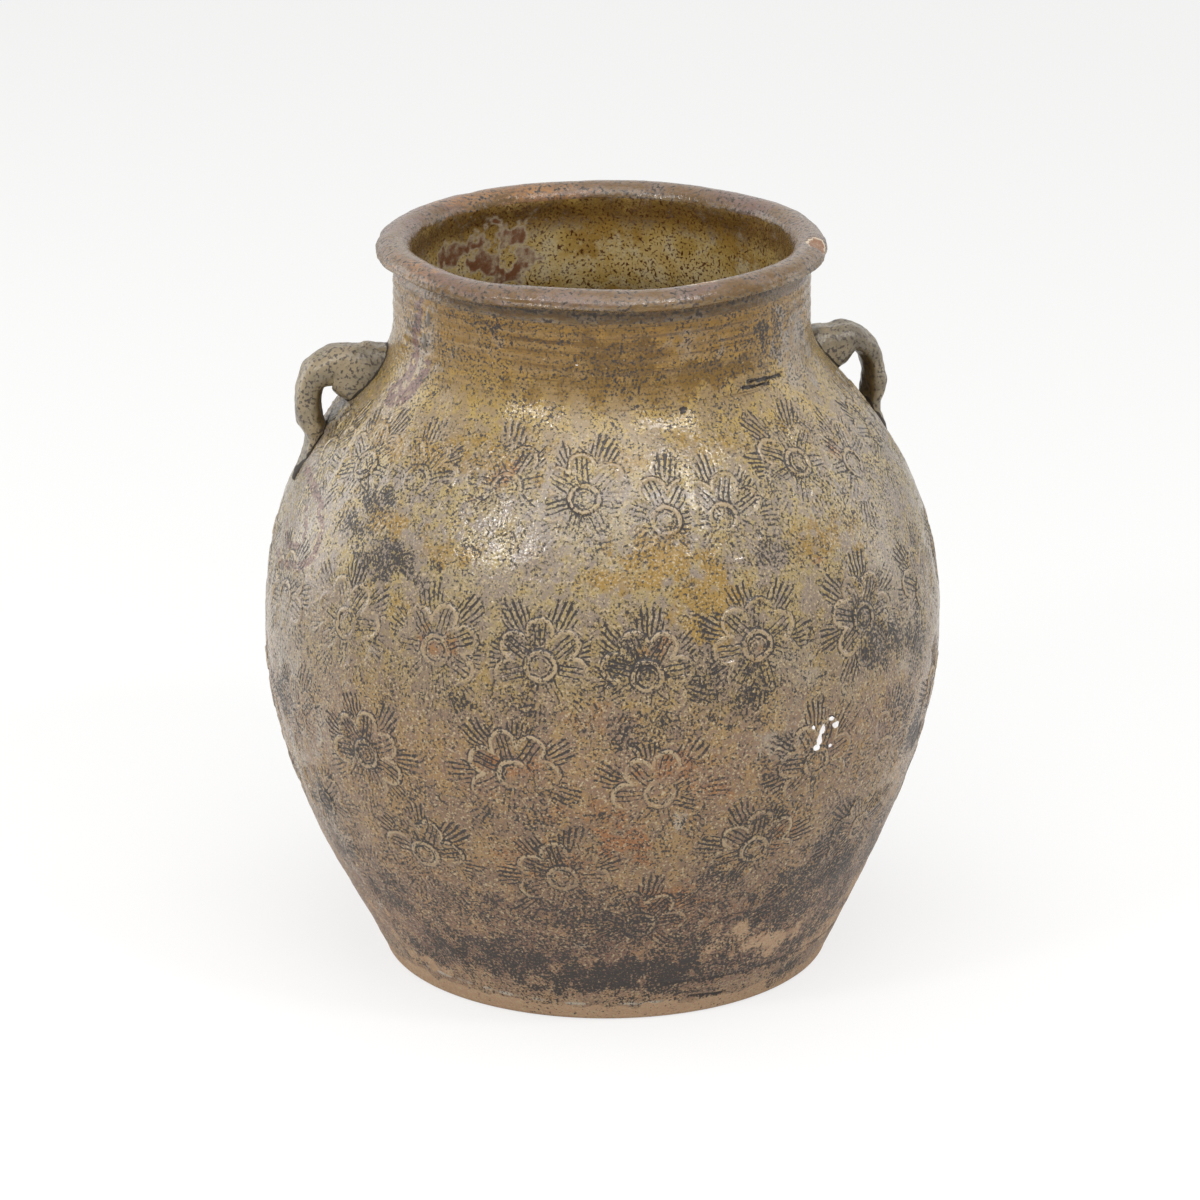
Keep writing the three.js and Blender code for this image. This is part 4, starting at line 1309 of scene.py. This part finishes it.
def strap_rows(further, fatter, lower):
    """Rows along the strap's middle, each with how far out and how high it is, half the thickness and
    half the width, and the way that the strap runs at each row, out and up."""
    knots = []
    for drop, reach, thick, wide in LUG_SHARES:
        height = LUG_TOP - lower - LUG_DROP * drop
        out = outside_at(height) + (LUG_REACH + further) * reach
        knots.append((out, height, STRAP_THICKNESS * thick * fatter, STRAP_WIDTH * wide))
    rows = smooth_through(np.array(knots), np.linspace(0, 1, round(STRAP_LENGTH / STRAP_ROW)))
    along = np.gradient(rows[:, :2], axis=0)
    return rows, along / np.linalg.norm(along, axis=1)[:, None]


def pulled_strap(name, bearing, rows, along):
    """A mesh object: a squared-off ring, drawn along the rows in the plane of +X and Z, closed at both
    ends and turned to its bearing."""
    shape = bmesh.new()
    ring = bmesh.ops.create_circle(shape, segments=STRAP_SIDES, radius=1)["verts"]
    power = 2 / STRAP_SQUARENESS
    for corner in ring:
        corner.co.x = math.copysign(abs(corner.co.x) ** power, corner.co.x)
        corner.co.y = math.copysign(abs(corner.co.y) ** power, corner.co.y)
    edges = list(shape.edges)
    previous = Matrix.Identity(4)
    for number, ((out, height, thick, wide), (side, up)) in enumerate(zip(rows, along)):
        station = Matrix((
            (-up * thick, 0, side, out),
            (0, wide, 0, 0),
            (side * thick, 0, up, height),
            (0, 0, 0, 1),
        ))
        if number:
            grown = bmesh.ops.extrude_edge_only(shape, edges=edges)["geom"]
            ring = [item for item in grown if isinstance(item, bmesh.types.BMVert)]
            ends = set(ring)
            edges = [
                item for item in grown
                if isinstance(item, bmesh.types.BMEdge) and ends.issuperset(item.verts)
            ]
        bmesh.ops.transform(shape, matrix=station @ previous.inverted(), verts=ring)
        previous = station
    open_edges = [edge for edge in shape.edges if edge.is_boundary]
    caps = bmesh.ops.holes_fill(shape, edges=open_edges)["faces"]
    bmesh.ops.poke(shape, faces=caps)
    bmesh.ops.recalc_face_normals(shape, faces=shape.faces)
    turn = Matrix.Rotation(math.radians(bearing - 90), 4, "Z")
    bmesh.ops.transform(shape, matrix=turn, verts=shape.verts)
    mesh = bpy.data.meshes.new(name)
    shape.to_mesh(mesh)
    shape.free()
    piece = bpy.data.objects.new(name, mesh)
    bpy.context.scene.collection.objects.link(piece)
    return piece


def strap(name, bearing, seed, further, fatter, lower):
    """One lug. No two are alike: it reaches further out, is fatter and sits lower than the drawn one by
    these values."""
    piece = pulled_strap(name, bearing, *strap_rows(further, fatter, lower))
    places = sunk(places_of(piece))
    normals = np.empty(len(places) * 3)
    piece.data.vertex_normals.foreach_get("vector", normals)
    normals = normals.reshape(-1, 3)
    clear = (radius_of(places) - outside_at(places[:, 2])) / MM
    # The painted shadow along the joint with the wall
    paint(piece, "joint_shade", 1 - eased(clear + 0.3 * lumps(places, 5 * MM, seed + 2), 0.6, 1.8))
    inwards = -(normals[:, 0] * places[:, 0] + normals[:, 1] * places[:, 1])
    facing = inwards / radius_of(places)
    # Painted shade on the faces that turn towards the wall
    paint(piece, "under", eased(facing, 0.2, 0.9) * eased(clear, 0, 2))
    swell = 0.4 * lumps(places, 12 * MM, seed) + 0.12 * lumps(places, 4 * MM, seed + 1)
    move_to(piece, places + normals * (swell * MM)[:, None])
    smooth_faces(piece)
    piece.data.materials.append(lug_glaze)
    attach(piece, "root")
    return piece


# Thick ash glaze over the straps: olive brown with a pale grain and dark specks, a little dull
lug_glaze = glazed("olive_lug_glaze", lug_surface, 0.6)
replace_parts(strap("left_strap", -LUG_BEARING, 71, 1.4 * MM, 1.15, 1.5 * MM), "lug_left")
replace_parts(strap("right_strap", LUG_BEARING, 81, -1.0 * MM, 0.85, 0), "lug_right")
